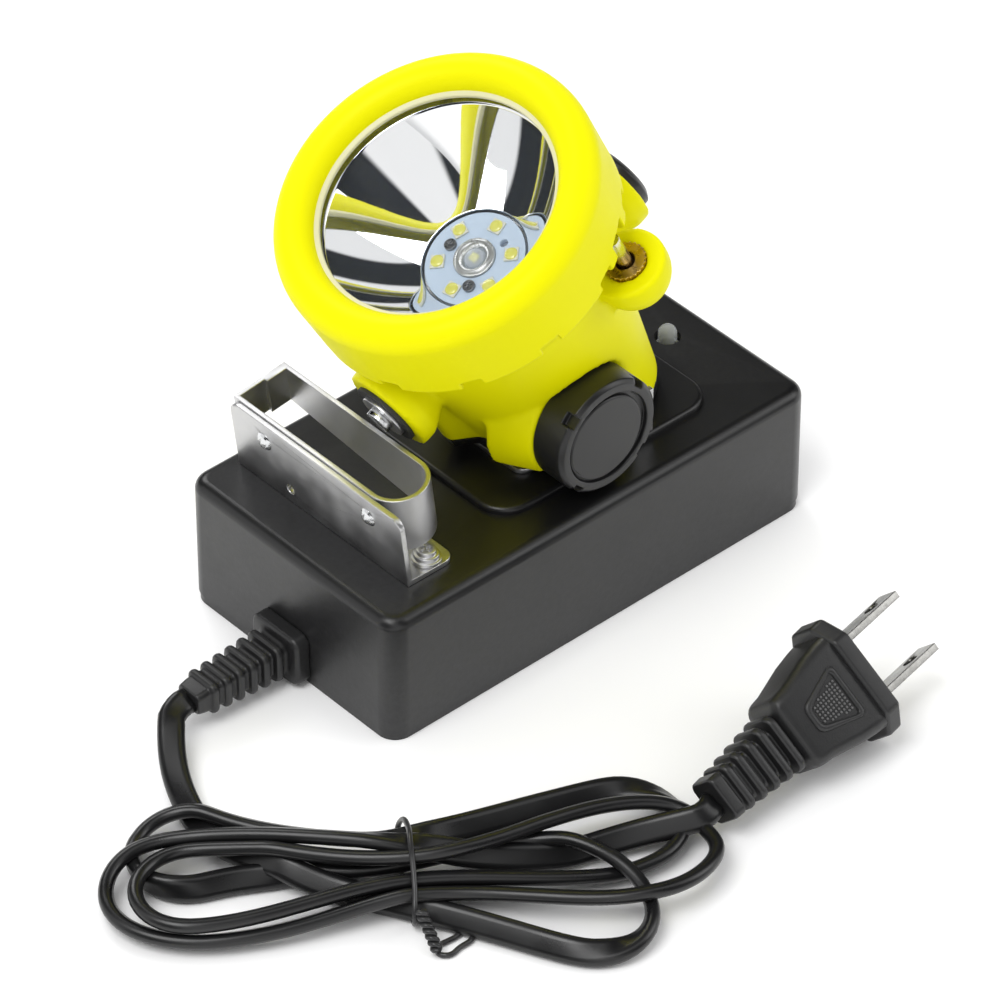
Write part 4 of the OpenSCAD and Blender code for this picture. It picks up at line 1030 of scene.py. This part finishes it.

# %% [markdown]
# ## Which finish goes where
# The imported record names a material slot for each CAD part, and each piece built here was
# given one when it was made. Five of them look unlike the rest of their slot and have a
# finish of their own, and three of these paint light: the lens seal and the ring in front of
# the lens are cream, a painted highlight for the light on the lip's inner wall; the grip's
# pips are paler than their rubber, a painted glint; and the board screws are darkened, a
# painted shade for the shade in their cross recesses. One loop dresses the CAD parts and
# another the pieces.

# %% Dress the parts
slots = {row["node"]: row["material_slot"] for row in frame["record"]["subparts"]}
SPECIAL = {"lens_seal": "cream_seal", "lens_ring": "cream_seal", "main_led_cup": "led_cup",
           "plug_pips": "pip_rubber", "board_screws": "dull_steel"}
for name, node in frame["nodes"].items():
    node.data.materials.clear()
    node.data.materials.append(FINISHES[SPECIAL.get(name, slots[name])])
dressed = 0
for piece in bpy.data.objects:
    if piece.get("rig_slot") and piece.name not in frame["nodes"]:
        piece.data.materials.clear()
        piece.data.materials.append(FINISHES[SPECIAL.get(piece.name, piece["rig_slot"])])
        dressed += 1
print("pieces dressed", dressed)

# %% [markdown]
# ## Floor, sky and lights
# The object stands on a plain pale floor under soft light. Shiny parts are only as good as
# what they reflect, so the sky is even for everything dull, but for reflections it has bright
# panels with dark gaps between them, as softboxes in a studio do. They stand round the beam,
# and give the bowl its fans of light and dark.

# %% Floor
FLOOR_HALF = 4.0
floor_mesh = bpy.data.meshes.new("floor")
floor_mesh.from_pydata([(-FLOOR_HALF, -FLOOR_HALF, 0), (FLOOR_HALF, -FLOOR_HALF, 0),
                        (FLOOR_HALF, FLOOR_HALF, 0), (-FLOOR_HALF, FLOOR_HALF, 0)], [],
                       [(0, 1, 2, 3)])
floor = bpy.data.objects.new("floor", floor_mesh)
floor.location.z = -FLOOR_CLEAR
bpy.context.scene.collection.objects.link(floor)
floor_mesh.materials.append(finish("floor_paper", (0.96, 0.96, 0.96), (0.98, 0.98, 0.98),
                                   (0.8, 0.9), grain=None, patch=300, Specular_IOR_Level=0.1))
print("floor", 2 * FLOOR_HALF, "m wide")

# %% Sky with panels
SKY_EVEN = 0.8
PANELS, PANEL_TURN, PANEL_SWAY = 4.0, 4.04, 1.3
PANEL_LIMITS, PANEL_LIGHT = (-0.25, 0.15), (0.006, 1.25)
SCREEN_LIMITS, SCREEN_LIGHT = (0.45, 0.95), (1.0, 0.12)
SCREEN_SIDE = Vector((0.35, 0.72, 0.6)).normalized()
world = bpy.data.worlds.new("studio")
bpy.context.scene.world = world
world.use_nodes = True
sky = world.node_tree
sky.nodes.clear()
direction = sky.nodes.new("ShaderNodeTexCoord").outputs["Generated"]


def toward(axis):
    """How far a sky direction points along an axis."""
    node = sky.nodes.new("ShaderNodeVectorMath")
    node.operation = "DOT_PRODUCT"
    link(sky, direction, node.inputs[0])
    node.inputs[1].default_value = axis
    return node.outputs["Value"]


round_beam = maths(sky, "ARCTAN2", toward(ACROSS), toward(LAMP_UP))
sway = maths(sky, "MULTIPLY", maths(sky, "SINE", round_beam), PANEL_SWAY)
phase = maths(sky, "ADD", maths(sky, "MULTIPLY", round_beam, PANELS), sway)
wave = maths(sky, "SINE", maths(sky, "ADD", phase, PANEL_TURN))
panel = map_range(sky, wave, PANEL_LIMITS, PANEL_LIGHT, smooth=True)
screen = map_range(sky, toward(SCREEN_SIDE), SCREEN_LIMITS, SCREEN_LIGHT, smooth=True)
bright = sky.nodes.new("ShaderNodeBackground")
link(sky, maths(sky, "MULTIPLY", panel, screen), bright.inputs["Strength"])
even = sky.nodes.new("ShaderNodeBackground")
even.inputs["Color"].default_value = (1, 1, 1, 1)
even.inputs["Strength"].default_value = SKY_EVEN
ray = sky.nodes.new("ShaderNodeLightPath")
which = sky.nodes.new("ShaderNodeMixShader")
link(sky, ray.outputs["Is Glossy Ray"], which.inputs["Fac"])
link(sky, even.outputs["Background"], which.inputs[1])
link(sky, bright.outputs["Background"], which.inputs[2])
link(sky, which.outputs["Shader"], sky.nodes.new("ShaderNodeOutputWorld").inputs["Surface"])
print("sky panels", PANELS, "even light", SKY_EVEN)

# %% Soft lights
LIGHTS = [("key", (-0.9, -0.2, 1.5), 0.9, 15.0), ("fill", (1.1, -1.0, 0.9), 0.8, 4.0),
          ("back", (0.3, 1.3, 1.2), 0.7, 7.0)]
for name, place, size, watts in LIGHTS:
    light = bpy.data.lights.new(name, "AREA")
    light.shape = "SQUARE"
    light.size = size
    light.energy = watts
    softbox = bpy.data.objects.new(name, light)
    softbox.location = place
    softbox.rotation_euler = (-Vector(place)).to_track_quat("-Z", "Y").to_euler()
    bpy.context.scene.collection.objects.link(softbox)
bpy.context.scene.view_settings.view_transform = "Standard"
print("lights", len(LIGHTS))
